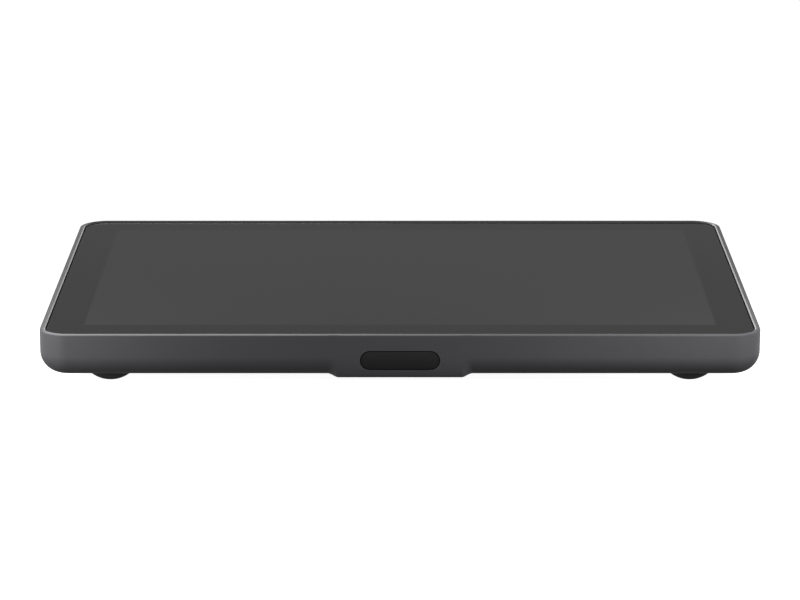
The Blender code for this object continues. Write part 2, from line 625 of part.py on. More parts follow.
def head_screws(head):
    """Chassis screws and board screws; the base's own screws come up from below."""
    for i, (x, y) in enumerate(CHASSIS_SCREWS, 1):
        screw(f"chassis_screw_{i}", at(x, y, CHASSIS_TOP + GAP), CHASSIS_TOP + GAP - 2.0 * MM, head)
    for i, (x, y) in enumerate(BOARD_SCREWS, 1):
        screw(f"board_screw_{i}", at(x, y, BOARD_TOP + GAP), BOARD_TOP + GAP - 1.0 * MM, head)


def front_feet(head):
    """Domed rubber feet; the dome's lowest point stands on the table."""
    steps = 7
    edge_angle = math.acos(FOOT_CENTRE_Z / FOOT_DOME_RADIUS)
    dome = [(FOOT_DOME_RADIUS * math.sin(edge_angle * i / steps),
             FOOT_CENTRE_Z - FOOT_DOME_RADIUS * math.cos(edge_angle * i / steps)) for i in range(steps + 1)]
    dome[0] = (0.05 * MM, dome[0][1])
    for (x, y), name in zip(FEET, ("front_foot_left", "front_foot_right")):
        bm = bmesh.new()
        turned(bm, dome + [(FOOT_RADIUS, FOOT_SEAT - GAP)], at(x, y), steps=24)
        finish(name, bm, RUBBER, head)


# Base

def underside(x, y):
    """Height of the head's underside above the table."""
    return HEAD_CLEARANCE + y * math.tan(TILT)


def below_underside(distance):
    return lambda x, y: underside(x, y) - distance / math.cos(TILT)


def base_outline(inset, radius):
    return rounded_outline(-BASE_HALF_WIDTH + inset, BASE_HALF_WIDTH - inset, BASE_FRONT + inset,
                           BASE_REAR - inset, radius)


SKIN_TOP = below_underside(GAP)
SKIN_BOTTOM = below_underside(GAP + BASE_WALL)
FLOOR_BOSS_RADIUS = 3.2 * MM
FLOOR_SCREW_X = BASE_HALF_WIDTH - BASE_WALL - FLOOR_BOSS_RADIUS + 0.6 * MM
FLOOR_SCREW_INSET = BASE_CORNER + 3 * MM
FLOOR_SCREWS = [(side * FLOOR_SCREW_X, y)
                for y in (BASE_FRONT + FLOOR_SCREW_INSET, BASE_REAR - FLOOR_SCREW_INSET) for side in (-1, 1)]
JACK_X = -20 * MM
USB_X = 8 * MM
BUTTON_X = 28 * MM
BUTTON_Z = PORT_BOARD_TOP + GAP + SWITCH_SIZE[2] / 2
TONGUE_REACH = 6 * MM
CLAMP_DEPTH = 7 * MM
CLAMP_Y = BASE_REAR - BASE_WALL - TONGUE_REACH - 2 * MM - CLAMP_DEPTH / 2
CLAMP_SCREW_X = 15 * MM
CLAMP_SCREWS = [(side * CLAMP_SCREW_X, CLAMP_Y) for side in (-1, 1)]
CLAMP_BOSS = 1.5 * MM
LOCK_Z = 14 * MM
LOCK_Y = BASE_REAR - 30 * MM
LOCK_SIZE = (2.2 * MM, 12 * MM, 8 * MM)
LOCK_SLOT = (7 * MM, 3 * MM)


def tilted(draw):
    """Lays a shape drawn in the head's frame over the base, turned and placed as the head is."""
    def shape(bm):
        made = bmesh.new()
        draw(made)
        made.transform(HEAD_PLACE)
        mesh = bpy.data.meshes.new("tilted_shape")
        made.to_mesh(mesh)
        made.free()
        bm.from_mesh(mesh)
        bpy.data.meshes.remove(mesh)
    return shape


HEAD_PLACE = Matrix.Translation((0, 0, HEAD_CLEARANCE)) @ Matrix.Rotation(TILT, 4, "X")


def base_shell(base):
    """Wedge walls and top skin, with a pocket at the rear for the cables and one U-shaped hollow round it."""
    bm = bmesh.new()
    extrude(bm, base_outline(0, BASE_CORNER), SHELL_BOTTOM, SKIN_TOP)
    shell = finish("base_shell", bm, GRAPHITE, base)
    bay_x = BAY_WIDTH / 2
    side_x, rear = BASE_HALF_WIDTH - BASE_WALL, BASE_REAR - BASE_WALL
    leg_x, leg_front = bay_x + BASE_WALL, PORT_WALL_Y - BASE_WALL
    inside = rounded_outline(-side_x, side_x, BASE_FRONT + BASE_WALL, rear, BASE_CORNER - BASE_WALL, 4)
    half = len(inside) // 2
    hollow = [*inside[:half], (leg_x, rear), (leg_x, leg_front), (-leg_x, leg_front), (-leg_x, rear),
              *inside[half:]]
    shapes = [lambda bm: extrude(bm, hollow, SHELL_BOTTOM - THROUGH, SKIN_BOTTOM)]
    open_rear = BASE_REAR + THROUGH
    bay = ((-bay_x, PORT_WALL_Y), (bay_x, PORT_WALL_Y), (bay_x, open_rear), (-bay_x, open_rear))
    shapes.append(lambda bm: extrude(bm, bay, BAY_FLOOR, SKIN_BOTTOM))
    cut(shell, tool_of("base_hollows", shapes, base))

    boss_top = SHELL_BOTTOM + 9 * MM
    join(shell, tool_of("base_bosses", [
        *[rod(x, y, SHELL_BOTTOM, boss_top, FLOOR_BOSS_RADIUS) for x, y in FLOOR_SCREWS],
        *[rod(x, y, BAY_FLOOR - 0.5 * MM, BAY_FLOOR + CLAMP_BOSS, BOSS_RADIUS) for x, y in CLAMP_SCREWS]],
        base))

    front, back = PORT_WALL_Y - BASE_WALL - THROUGH, PORT_WALL_Y + THROUGH

    def socket_hole(x, size):
        half, top = size[0] / 2 + GAP, JACK_BOTTOM + size[2] + GAP
        return lambda bm: block(bm, (x - half, front, JACK_BOTTOM - GAP), (x + half, back, top))

    def button_hole(bm):
        turned(bm, [(BUTTON_RADIUS + GAP, 0), (BUTTON_RADIUS + GAP, back - front)],
               at(BUTTON_X, front, BUTTON_Z, ALONG_Y))

    def lock_hole(bm):
        depth, half_length, half_height = LOCK_SIZE[0] + GAP, LOCK_SIZE[1] / 2 + GAP, LOCK_SIZE[2] / 2 + GAP
        block(bm, (BASE_HALF_WIDTH - depth - 2 * MM, LOCK_Y - half_length, LOCK_Z - half_height),
              (BASE_HALF_WIDTH + THROUGH, LOCK_Y + half_length, LOCK_Z + half_height))

    skin = GAP + BASE_WALL + THROUGH
    screw_top = SHELL_BOTTOM + 7.5 * MM
    cut(shell, tool_of("base_cuts", [
        socket_hole(JACK_X, JACK_SIZE),
        socket_hole(USB_X, USB_SIZE),
        button_hole,
        lock_hole,
        *[rod(x, y, SHELL_BOTTOM - THROUGH, screw_top, HOLE_RADIUS) for x, y in FLOOR_SCREWS],
        *[rod(x, y, BAY_FLOOR - 1.5 * MM, BAY_FLOOR + 3 * MM, HOLE_RADIUS) for x, y in CLAMP_SCREWS],
        *[tilted(rod(x, y, -skin, THROUGH, HOLE_RADIUS)) for x, y in BASE_SCREWS],
        tilted(lambda bm: block(bm, (-SLOT_WIDTH / 2, SLOT_Y - SLOT_LENGTH / 2, -skin),
                                (SLOT_WIDTH / 2, SLOT_Y + SLOT_LENGTH / 2, THROUGH)))], base))


def base_floor(base):
    """Floor plate that closes the base, with standoffs for the port board."""
    made = plate("base_floor", base_outline(FLOOR_INSET, BASE_CORNER - FLOOR_INSET),
                 PLATE_BOTTOM, PLATE_TOP, GRAPHITE, base)
    standoffs = port_board_screws()
    low, high = PLATE_TOP - 0.5 * MM, PLATE_TOP + PORT_BOARD_RISE
    join(made, tool_of("floor_standoffs", [rod(x, y, low, high, BOSS_RADIUS) for x, y in standoffs], base))
    cut(made, tool_of("floor_holes", [
        *[rod(x, y, PLATE_BOTTOM - THROUGH, PLATE_TOP + THROUGH, HOLE_RADIUS) for x, y in FLOOR_SCREWS],
        *[rod(x, y, PLATE_BOTTOM + 0.6 * MM, PLATE_TOP + 3 * MM, HOLE_RADIUS) for x, y in standoffs]], base))


def base_pad(base):
    made = plate("base_pad", base_outline(PAD_INSET, BASE_CORNER - PAD_INSET), 0, PAD, RUBBER, base)
    cut(made, tool_of("pad_holes", [
        rod(x, y, -THROUGH, PAD + THROUGH, SCREW_HEAD_RADIUS + 0.5 * MM) for x, y in FLOOR_SCREWS], base))


def port_board_span():
    """Front and rear ends of the port board, between the base's front wall and the port wall."""
    return BASE_FRONT + BASE_WALL + PORT_BOARD_CLEARANCE, PORT_WALL_Y - BASE_WALL - GAP


def port_board_screws():
    front, rear = port_board_span()
    return [(side * (PORT_BOARD_WIDTH / 2 - 4 * MM), front + 6 * MM) for side in (-1, 1)]


def socket(name, size, mouth, x, base):
    """A connector body with its mouth towards the rear."""
    rear = PORT_WALL_Y
    made = box(name, (x - size[0] / 2, rear - size[1], JACK_BOTTOM),
               (x + size[0] / 2, rear, JACK_BOTTOM + size[2]), STEEL, base)
    middle = JACK_BOTTOM + size[2] / 2
    cut(made, tool_of(name + "_mouth", [lambda bm: block(
        bm, (x - mouth[0] / 2, rear - mouth[1], middle - mouth[2] / 2),
        (x + mouth[0] / 2, rear + THROUGH, middle + mouth[2] / 2))], base))


def port_board(base):
    front, rear = port_board_span()
    half = PORT_BOARD_WIDTH / 2
    board = plate("port_board", rounded_outline(-half, half, front, rear, 1.5 * MM, 3),
                  PORT_BOARD_BOTTOM, PORT_BOARD_TOP, BOARD_GREEN, base)
    cut(board, tool_of("port_board_holes", [
        rod(x, y, PORT_BOARD_BOTTOM - THROUGH, PORT_BOARD_TOP + THROUGH, HOLE_RADIUS)
        for x, y in port_board_screws()], base))
    for i, (x, y) in enumerate(port_board_screws(), 1):
        screw(f"port_board_screw_{i}", at(x, y, PORT_BOARD_TOP + GAP), 3.2 * MM, base)
    socket("ethernet_jack", JACK_SIZE, JACK_MOUTH, JACK_X, base)
    socket("usb_c_port", USB_SIZE, USB_MOUTH, USB_X, base)


def port_flex(base):
    """Flat cable from the main board down through both slots to the port board."""
    start = HEAD_PLACE @ Vector((0, SLOT_Y, BOARD_BOTTOM - GAP))
    low = PORT_BOARD_TOP + GAP + 0.3 * MM
    end = start.y + PORT_FLEX_TAIL
    half_width, bend = 9 * MM, 2 * MM
    ribbon("port_flex", [(start.y, start.z), (start.y, low), (end, low)], -half_width, half_width,
           FLAT_CABLE, FLEX_AMBER, base, bend)


def reset_button(base):
    """A button through the port wall, pressed forwards into the switch behind it."""
    rear = PORT_WALL_Y
    flange_y = rear - BASE_WALL - GAP
    flange, flange_radius = 0.8 * MM, BUTTON_RADIUS + 0.9 * MM
    stem_radius, stem_end = 1.0 * MM, flange_y - flange - 3 * MM
    edge = 0.3 * MM
    profile = [(stem_radius, stem_end), (stem_radius, flange_y - flange), (flange_radius, flange_y - flange),
               (flange_radius, flange_y), (BUTTON_RADIUS, flange_y),
               (BUTTON_RADIUS, rear + BUTTON_PROUD - edge), (BUTTON_RADIUS - edge, rear + BUTTON_PROUD)]
    bm = bmesh.new()
    turned(bm, [(r, y - rear) for r, y in profile], ALONG_Y)
    button = finish("reset_button", bm, BLACK_PLASTIC, base)
    button.location = (BUTTON_X, rear, BUTTON_Z)

    face = flange_y - flange - BUTTON_TRAVEL - GAP
    width, length, height = SWITCH_SIZE
    bottom = PORT_BOARD_TOP + GAP
    switch = box("reset_switch", (BUTTON_X - width / 2, face - length, bottom),
                 (BUTTON_X + width / 2, face, bottom + height), BLACK_PLASTIC, base)
    well_radius, well_depth = stem_radius + GAP, 4 * MM

    def well(bm):
        turned(bm, [(well_radius, 0), (well_radius, well_depth + THROUGH)],
               at(BUTTON_X, face - well_depth, BUTTON_Z, ALONG_Y))
    cut(switch, tool_of("switch_well", [well], base))


def cable_clamp(base):
    """A bridge over the cables, held to the bay's floor by two screws."""
    bottom = BAY_FLOOR + CLAMP_BOSS + GAP
    half = CLAMP_SCREW_X + 4 * MM
    arch = CLAMP_SCREW_X - 4 * MM
    foot, top, wall, lean = 2 * MM, 7.5 * MM, 1.8 * MM, 1 * MM
    right = [(half, 0), (half, foot), (arch + wall, foot), (arch + wall - lean, top)]
    outline = [(-half, 0), (-arch, 0), (-arch + lean, top - wall), (arch - lean, top - wall), (arch, 0),
               *right, *[(-x, z) for x, z in reversed(right[1:])]]
    bm = bmesh.new()
    loft(bm, [[(x, CLAMP_Y + end * CLAMP_DEPTH / 2, bottom + z) for x, z in outline] for end in (1, -1)])
    made = finish("cable_clamp", bm, BLACK_PLASTIC, base)
    cut(made, tool_of("clamp_holes", [
        rod(x, y, bottom - THROUGH, bottom + foot + THROUGH, HOLE_RADIUS) for x, y in CLAMP_SCREWS], base))
    for i, (x, y) in enumerate(CLAMP_SCREWS, 1):
        screw(f"clamp_screw_{i}", at(x, y, bottom + foot + GAP), 4.6 * MM, base)


def lock_insert(base):
    """Steel plate with a security slot, set in the right wall."""
    low, high = BASE_HALF_WIDTH - LOCK_SIZE[0], BASE_HALF_WIDTH - GAP
    made = box("lock_insert", (low, LOCK_Y - LOCK_SIZE[1] / 2, LOCK_Z - LOCK_SIZE[2] / 2),
               (high, LOCK_Y + LOCK_SIZE[1] / 2, LOCK_Z + LOCK_SIZE[2] / 2), STEEL, base)
    def slot(bm):
        outline = pill(LOCK_Y, LOCK_Z, *LOCK_SLOT, steps=4)
        loft(bm, [[(x, y, z) for y, z in outline] for x in (low - THROUGH, high + THROUGH)])
    cut(made, tool_of("lock_slot", [slot], base))


def cable_cover(base):
    """Lift-off cover of the cable bay: a panel flush with the rear wall, with a notch and side tongues."""
    bottom, thickness = BAY_FLOOR + COVER_FIT, BASE_WALL
    half = BAY_WIDTH / 2 - COVER_FIT
    inner = BASE_REAR - thickness
    top = below_underside(GAP + BASE_WALL + COVER_FIT)
    panel = ((-half, inner), (half, inner), (half, BASE_REAR), (-half, BASE_REAR))
    bm = bmesh.new()
    extrude(bm, [(x, y - BASE_REAR) for x, y in panel], bottom, lambda x, y: top(x, inner))
    cover = finish("cable_cover", bm, GRAPHITE, base)
    cover.location.y = BASE_REAR
    tongue, overlap = 1.6 * MM, 0.6 * MM
    low, high = bottom + 4 * MM, top(0, inner - TONGUE_REACH) - 2 * MM
    join(cover, tool_of("cover_tongues", [
        (lambda bm, x=x: block(bm, (x, inner - TONGUE_REACH, low), (x + tongue, inner + overlap, high)))
        for x in (-half, half - tongue)], base))
    notch = COVER_NOTCH_WIDTH / 2
    cut(cover, tool_of("cover_notch", [lambda bm: block(
        bm, (-notch, inner - THROUGH, bottom - THROUGH),
        (notch, BASE_REAR + THROUGH, bottom + COVER_NOTCH_HEIGHT))], base))


def base_screws(head, base):
    """Screws up through the base's top skin into the head, and up through the floor plate into the shell."""
    upside_down = Matrix.Rotation(math.pi, 4, "X")
    seat = -GAP - BASE_WALL - GAP
    for i, (x, y) in enumerate(BASE_SCREWS, 1):
        screw(f"base_screw_{i}", at(x, y, seat, upside_down), BOARD_BOTTOM - GAP - seat, head)
    for i, (x, y) in enumerate(FLOOR_SCREWS, 1):
        screw(f"floor_screw_{i}", at(x, y, PAD, upside_down), 9 * MM, base)


def build():
    for old in list(bpy.data.objects):
        bpy.data.objects.remove(old)
    base = bpy.data.objects.new("base_place", None)
    head = bpy.data.objects.new("head_place", None)
    for empty in (base, head):
        bpy.context.scene.collection.objects.link(empty)
    base.location.y = -CENTRE_Y
    head.parent = base
    head.location.z = HEAD_CLEARANCE
    head.rotation_euler.x = TILT

    housing_shell(head)
    cover_glass(head)
    glass_adhesive(head)
    display_stack(head)
    chassis_plate(head)
    main_board(head)
    board_parts(head)
    antennas(head)
    presence_sensing(head)
    light_sensing(head)
    head_screws(head)
    front_feet(head)
    base_shell(base)
    base_floor(base)
    base_pad(base)
    port_board(base)
    port_flex(base)
    reset_button(base)
    cable_clamp(base)
    lock_insert(base)
    cable_cover(base)
    base_screws(head, base)


build()
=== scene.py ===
"""Table-top touch controller: the shapes and finishes of its pieces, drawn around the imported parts.

Metres, +Z up, front towards -Y. Pieces of the head are drawn flat in the head's own frame, where x runs
across, y along the screen from its front edge and z up from the underside, and are then laid in place.
"""

import math

import bmesh
import bpy
from mathutils import Matrix, Vector


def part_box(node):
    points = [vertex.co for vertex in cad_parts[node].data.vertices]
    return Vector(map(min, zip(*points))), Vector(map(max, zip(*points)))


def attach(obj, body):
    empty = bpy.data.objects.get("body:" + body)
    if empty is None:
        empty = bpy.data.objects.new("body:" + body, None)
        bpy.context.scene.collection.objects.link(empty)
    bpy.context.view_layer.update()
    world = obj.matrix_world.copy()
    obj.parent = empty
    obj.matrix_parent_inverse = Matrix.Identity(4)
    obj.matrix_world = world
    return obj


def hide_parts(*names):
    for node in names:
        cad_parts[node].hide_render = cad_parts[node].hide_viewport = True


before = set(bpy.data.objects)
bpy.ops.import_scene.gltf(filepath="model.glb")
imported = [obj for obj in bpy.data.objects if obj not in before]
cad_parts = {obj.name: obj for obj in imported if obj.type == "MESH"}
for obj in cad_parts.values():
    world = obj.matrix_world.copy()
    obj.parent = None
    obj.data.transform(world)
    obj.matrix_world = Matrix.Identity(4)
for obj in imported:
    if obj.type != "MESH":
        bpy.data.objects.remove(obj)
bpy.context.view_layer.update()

MM = 0.001
GAP = 0.3 * MM
NEAR = 0.02 * MM
CREASE_ANGLE = 0.3
SOFT_EDGE = 0.25 * MM
ROUND_END_FLAT = 0.01 * MM
PILL_END_FLAT = 0.001 * MM

# Head
TILT = math.radians(14)
HEAD_WIDTH = 246.28 * MM
HEAD_LENGTH = 164.8 * MM
HEAD_THICKNESS = 15.1 * MM
HEAD_CLEARANCE = 0.8 * MM
CORNER_RADIUS = 10 * MM
BOTTOM_RADIUS = 7.5 * MM
WALL = 1.8 * MM
RIM_SLOPE_WIDTH = 1.3 * MM
RIM_RISE = 0.35 * MM
RIM_CHAMFER_WIDTH = 0.55 * MM
RIM_CHAMFER_DROP = 0.38 * MM
RIM_CUT_INSET = 0.1 * MM
RIM_CUT_FADE = (11 * MM, 4 * MM)
RIM_EDGE = 0.18 * MM
CREST_EDGE = 0.07 * MM
GLASS_RECESS = 0.66 * MM
GLASS = 1.1 * MM
LEDGE_DROP = 2.0 * MM
LEDGE_WIDTH = 2.6 * MM
LEDGE_THICKNESS = 0.7 * MM
LEDGE_FLARE_DROP = 1.5 * MM
ACTIVE_WIDTH = 216.96 * MM
ACTIVE_LENGTH = 135.6 * MM
FRONT_BORDER = 15.1 * MM
LIGHT_SENSOR_X = 45.5 * MM
LIGHT_SENSOR_FROM_REAR = 8.1 * MM

# Chin and sensor window
CHIN_WIDTH = 41.8 * MM
CHIN_BLEND = 4.0 * MM
CHIN_RADIUS = 1.6 * MM
CHIN_SLICES = 14
WINDOW_WIDTH = 27.2 * MM
WINDOW_HEIGHT = 6.75 * MM
WINDOW_DROP = 8.78 * MM
WINDOW_RECESS = 0.12 * MM
WINDOW_CHAMFER = 0.08 * MM

# Feet
FOOT_SIDE_INSET = 23.65 * MM
FOOT_FROM_FRONT = 15 * MM
FOOT_DOME_RADIUS = 11 * MM
FOOT_SEAT = 0.8 * MM

# Base
BASE_CORNER = 12 * MM
BASE_WALL = 2.4 * MM
BAY_WIDTH = 90 * MM
NOTCH_WIDTH = 44 * MM
NOTCH_HEIGHT = 9 * MM
FLOOR_THICKNESS = 2.0 * MM
COVER_FIT = 0.4 * MM
JACK_MOUTH = (11.9 * MM, 13 * MM, 7.9 * MM)
BUTTON_RADIUS = 2.0 * MM
BUTTON_FLANGE_RADIUS = 2.9 * MM
STEM_RADIUS = 1.0 * MM
FLANGE = 0.8 * MM
BUTTON_FACE = ((0.12, 0.18), (0.14, 0.09), (0.16, 0.03), (0.25, -0.02), (0.35, -0.06), (0.4, -0.05))
CLAMP_FOOT = 2.0 * MM
SCREW_HOLE = 1.3 * MM
SCREW_HEAD_RADIUS = 1.8 * MM
SCREW_HEAD = 0.9 * MM
SCREW_CROWN = ((0.07, 0.12), (0.12, 0.09), (0.2, 0.04))
SHANK_RADIUS = 0.97 * MM
SCREW_TIP = 0.6 * MM
THREAD_PITCH = 0.4 * MM
THREAD_ROOT = 0.82
JACK_CONTACT_PITCH = 1.02 * MM
USB_CONTACT_PITCH = 0.5 * MM

# Camera and surroundings: a level of light at each height, from straight down to straight up
LENS = 144.9
CAMERA_DISTANCE = 1171.2 * MM
CAMERA_HEIGHT = 48.58 * MM
CAMERA_PITCH = 1.102
SURROUNDINGS = ((-1.0, 0.14), (-0.3, 0.2), (-0.03, 1.0), (0.24, 1.0), (0.3, 0.22), (0.7, 0.19), (1.0, 0.19))
SURROUNDINGS_STRENGTH = 1.05
HORIZON_LIFT = 0.35

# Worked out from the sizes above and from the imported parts
CREST_HEIGHT = HEAD_THICKNESS + RIM_RISE
RIM_WIDTH = RIM_SLOPE_WIDTH + RIM_CHAMFER_WIDTH
GLASS_TOP = CREST_HEIGHT - GLASS_RECESS
LEDGE_TOP = GLASS_TOP - LEDGE_DROP
WINDOW_Z = HEAD_THICKNESS - WINDOW_DROP
HEAD_ORIGIN = Vector((0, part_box("housing_shell")[0].y + HEAD_THICKNESS * math.sin(TILT), HEAD_CLEARANCE))
HEAD_PLACE = Matrix.Translation(HEAD_ORIGIN) @ Matrix.Rotation(TILT, 4, "X")
HERE = Matrix.Identity(4)
X, Y, Z = 0, 1, 2


# Modelling by hand: a primitive, edit mode, then modifiers

def only(piece):
    """Selects one piece, so that operators act on it alone."""
    bpy.ops.object.select_all(action="DESELECT")
    piece.select_set(True)
    bpy.context.view_layer.objects.active = piece


def named(name):
    """The primitive just added, under its own name, with its place and size applied to its mesh."""
    piece = bpy.context.active_object
    piece.name = piece.data.name = name
    only(piece)
    bpy.ops.object.transform_apply(location=True, rotation=True, scale=True)
    return piece


def bar(name, low, high):
    """A box between two corners, as a start."""
    bpy.ops.object.select_all(action="DESELECT")
    middle = [(a + b) / 2 for a, b in zip(low, high)]
    bpy.ops.mesh.primitive_cube_add(size=1, location=middle)
    bpy.context.active_object.scale = [b - a for a, b in zip(low, high)]
    return named(name)


def rod(name, centre, radius, length, along=Z, sides=32):
    """A cylinder about its centre, as a start."""
    bpy.ops.object.select_all(action="DESELECT")
    turn = {X: (0, math.pi / 2, 0), Y: (math.pi / 2, 0, 0), Z: (0, 0, 0)}[along]
    bpy.ops.mesh.primitive_cylinder_add(vertices=sides, radius=radius, depth=length, location=centre,
                                        rotation=turn)
    return named(name)


class Shaping:
    """Edit mode on one piece, with faces and edges picked by where they are."""

    def __init__(self, piece):
        self.piece = piece

    def __enter__(self):
        only(self.piece)
        bpy.ops.object.mode_set(mode="EDIT")
        return self

    def __exit__(self, *problem):
        bpy.ops.object.mode_set(mode="OBJECT")

    def pick(self, kind, test):
        bpy.ops.mesh.select_mode(type=kind)
        bpy.ops.mesh.select_all(action="DESELECT")
        drawn = bmesh.from_edit_mesh(self.piece.data)
        for part in (drawn.faces if kind == "FACE" else drawn.edges):
            if test(part):
                part.select_set(True)
        bmesh.update_edit_mesh(self.piece.data)

    def faces(self, test):
        """Picks faces by a test of their centre and normal."""
        self.pick("FACE", lambda face: test(face.calc_center_median(), face.normal))

    def edges(self, test):
        """Picks edges by a test of their two ends."""
        self.pick("EDGE", lambda edge: test(edge.verts[0].co, edge.verts[1].co))

    def creases(self, test, within=lambda end: True):
        """Picks edges by their ends, where two faces meet at an angle."""
        self.pick("EDGE", lambda edge: len(edge.link_faces) == 2 and edge.calc_face_angle() > CREASE_ANGLE
                  and test(edge.verts[0].co, edge.verts[1].co)
                  and all(within(vert.co) for vert in edge.verts))

    def all(self):
        bpy.ops.mesh.select_all(action="SELECT")

    def bevel(self, width, segments=3):
        bpy.ops.mesh.bevel(offset=width, segments=segments, affect="EDGES", clamp_overlap=False)

    def inset(self, width):
        bpy.ops.mesh.inset(thickness=width, depth=0)

    def move(self, x=0, y=0, z=0):
        bpy.ops.transform.translate(value=(x, y, z))

    def extrude(self, x=0, y=0, z=0):
        bpy.ops.mesh.extrude_region_move(TRANSFORM_OT_translate={"value": (x, y, z)})

    def slice(self, point, normal, keep_below=False):
        bpy.ops.mesh.bisect(plane_co=point, plane_no=normal, clear_outer=keep_below, use_fill=keep_below)


def rounded_bar(name, low, high, radius, along=Z, segments=16):
    """A box whose four edges along one axis are rounded."""
    piece = bar(name, low, high)
    across = [axis for axis in (X, Y, Z) if axis != along]
    with Shaping(piece) as shape:
        shape.edges(lambda a, b: all(abs(a[axis] - b[axis]) < NEAR for axis in across))
        shape.bevel(radius, segments)
    return piece


def at_level(axis, level):
    """A test for edges that lie at one level of an axis."""
    return lambda a, b: abs(a[axis] - level) < NEAR and abs(b[axis] - level) < NEAR


def soften(piece, axis, level, width, segments=3):
    """Rounds the edges that lie at one level."""
    with Shaping(piece) as shape:
        shape.creases(at_level(axis, level))
        shape.bevel(width, segments)
    return piece


def repeat(piece, count, x=0, y=0):
    """A row of copies of a piece, a step apart."""
    apply_modifier(piece, "ARRAY", count=count, use_relative_offset=False, use_constant_offset=True,
                   constant_offset_displace=(x, y, 0))


def apply_modifier(piece, kind, **settings):
    made = piece.modifiers.new(kind.lower(), kind)
    for key, value in settings.items():
        setattr(made, key, value)
    only(piece)
    bpy.ops.object.modifier_apply(modifier=made.name)


def combine(piece, tool, operation="DIFFERENCE"):
    """Cuts a tool from a piece, or joins it on, and throws the tool away."""
    apply_modifier(piece, "BOOLEAN", operation=operation, solver="EXACT", object=tool)
    bpy.data.objects.remove(tool)
    return piece


def complete(piece, finish, body, stands_for=(), place=HERE, angle=30):
    """Smooths a piece, lays it in place, gives it its finish and its body, and hides the nodes it stands for.
    """
    only(piece)
    bpy.ops.object.shade_smooth_by_angle(angle=math.radians(angle))
    apply_modifier(piece, "WEIGHTED_NORMAL", keep_sharp=True)
    piece.data.transform(place)
    piece.data.materials.clear()
    piece.data.materials.append(finish)
    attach(piece, body)
    if stands_for:
        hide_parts(*stands_for)
    return piece


# Finishes: shader maths as expressions

class Amount:
    """A number that varies over a surface; sums and products of it add their Math nodes."""

    def __init__(self, finish, socket):
        self.finish = finish
        self.socket = socket

    def __add__(self, other):
        return self.finish.maths("ADD", self, other)

    def __mul__(self, other):
        return self.finish.maths("MULTIPLY", self, other)

    def __sub__(self, other):
        return self.finish.maths("SUBTRACT", self, other)

    def __rsub__(self, other):
        return self.finish.maths("SUBTRACT", other, self)

    __radd__ = __add__
    __rmul__ = __mul__


class Finish:
    """A material with one Principled shader, and what feeds it."""

    def __init__(self, name, **constants):
        self.material = bpy.data.materials.new(name)
        self.material.use_nodes = True
        self.tree = self.material.node_tree
        self.shader = self.tree.nodes["Principled BSDF"]
        for socket, value in constants.items():
            self.shader.inputs[socket.replace("_", " ")].default_value = value

    def node(self, kind, settings=None, inputs=None):
        """Any node: its settings first, then its sockets' values or links."""
        made = self.tree.nodes.new(kind)
        for key, value in (settings or {}).items():
            setattr(made, key, value)
        for key, value in (inputs or {}).items():
            self.put(made.inputs[key], value)
        return made

    def put(self, socket, value):
        if isinstance(value, Amount):
            value = value.socket
        if isinstance(value, bpy.types.NodeSocket):
            self.tree.links.new(value, socket)
        else:
            socket.default_value = value

    def feed(self, **inputs):
        for name, value in inputs.items():
            self.put(self.shader.inputs[name.replace("_", " ")], value)

    def maths(self, operation, *values):
        made = self.node("ShaderNodeMath", {"operation": operation}, dict(enumerate(values)))
        return Amount(self, made.outputs[0])

    def place(self, matrix=HERE):
        """Object coordinates, turned into the frame that a matrix lays in the world."""
        back = matrix.inverted()
        where = self.node("ShaderNodeTexCoord").outputs["Object"]
        turned = self.node("ShaderNodeMapping", None, {
            "Vector": where, "Rotation": back.to_euler(), "Location": back.to_translation()})
        return turned.outputs[0]

    def axes(self, place):
        apart = self.node("ShaderNodeSeparateXYZ", None, {"Vector": place})
        return [Amount(self, output) for output in apart.outputs]

    def grain(self, place, scale, detail=2, roughness=0.5):
        made = self.node("ShaderNodeTexNoise", None, {
            "Vector": place, "Scale": scale, "Detail": detail, "Roughness": roughness})
        return Amount(self, made.outputs[0])

    def step(self, value, low, high, start=0, end=1):
        """A smooth step of a value between two levels."""
        made = self.node("ShaderNodeMapRange", {"interpolation_type": "SMOOTHSTEP"}, {
            "Value": value, "From Min": low, "From Max": high, "To Min": start, "To Max": end})
        return Amount(self, made.outputs[0])

    def blend(self, share, first, second):
        made = self.node("ShaderNodeMix", {"data_type": "RGBA"}, {"Factor": share})
        for socket, value in zip((made.inputs[6], made.inputs[7]), (first, second)):
            self.put(socket, value if isinstance(value, bpy.types.NodeSocket) else (*value, 1))
        return made.outputs[2]

    def bump(self, height, depth, strength=1.0):
        made = self.node("ShaderNodeBump", None, {"Height": height, "Distance": depth, "Strength": strength})
        self.feed(Normal=made.outputs[0])


def grey(level, tint=0.0):
    """A grey with a slight blue tint."""
    return (level, level, level * (1 + tint))


def moulded(name, level, roughness, grain_size=0.25 * MM, depth=0.012 * MM, specular=0.3, tint=0.0,
            metallic=0.0):
    """A moulded or painted surface: fine grain, and soft variation in tone and sheen."""
    finish = Finish(name, Metallic=metallic, Specular_IOR_Level=specular)
    place = finish.place()
    fine = finish.grain(place, 1 / grain_size)
    broad = finish.grain(place, 35, 3)
    tone = broad * 0.6 + fine * 0.4
    finish.feed(Base_Color=finish.blend(tone, grey(level * 0.9, tint), grey(level * 1.1, tint)),
                Roughness=roughness + (broad - 0.5) * 0.12 + (fine - 0.5) * 0.08)
    finish.bump(fine, depth)
    return finish.material


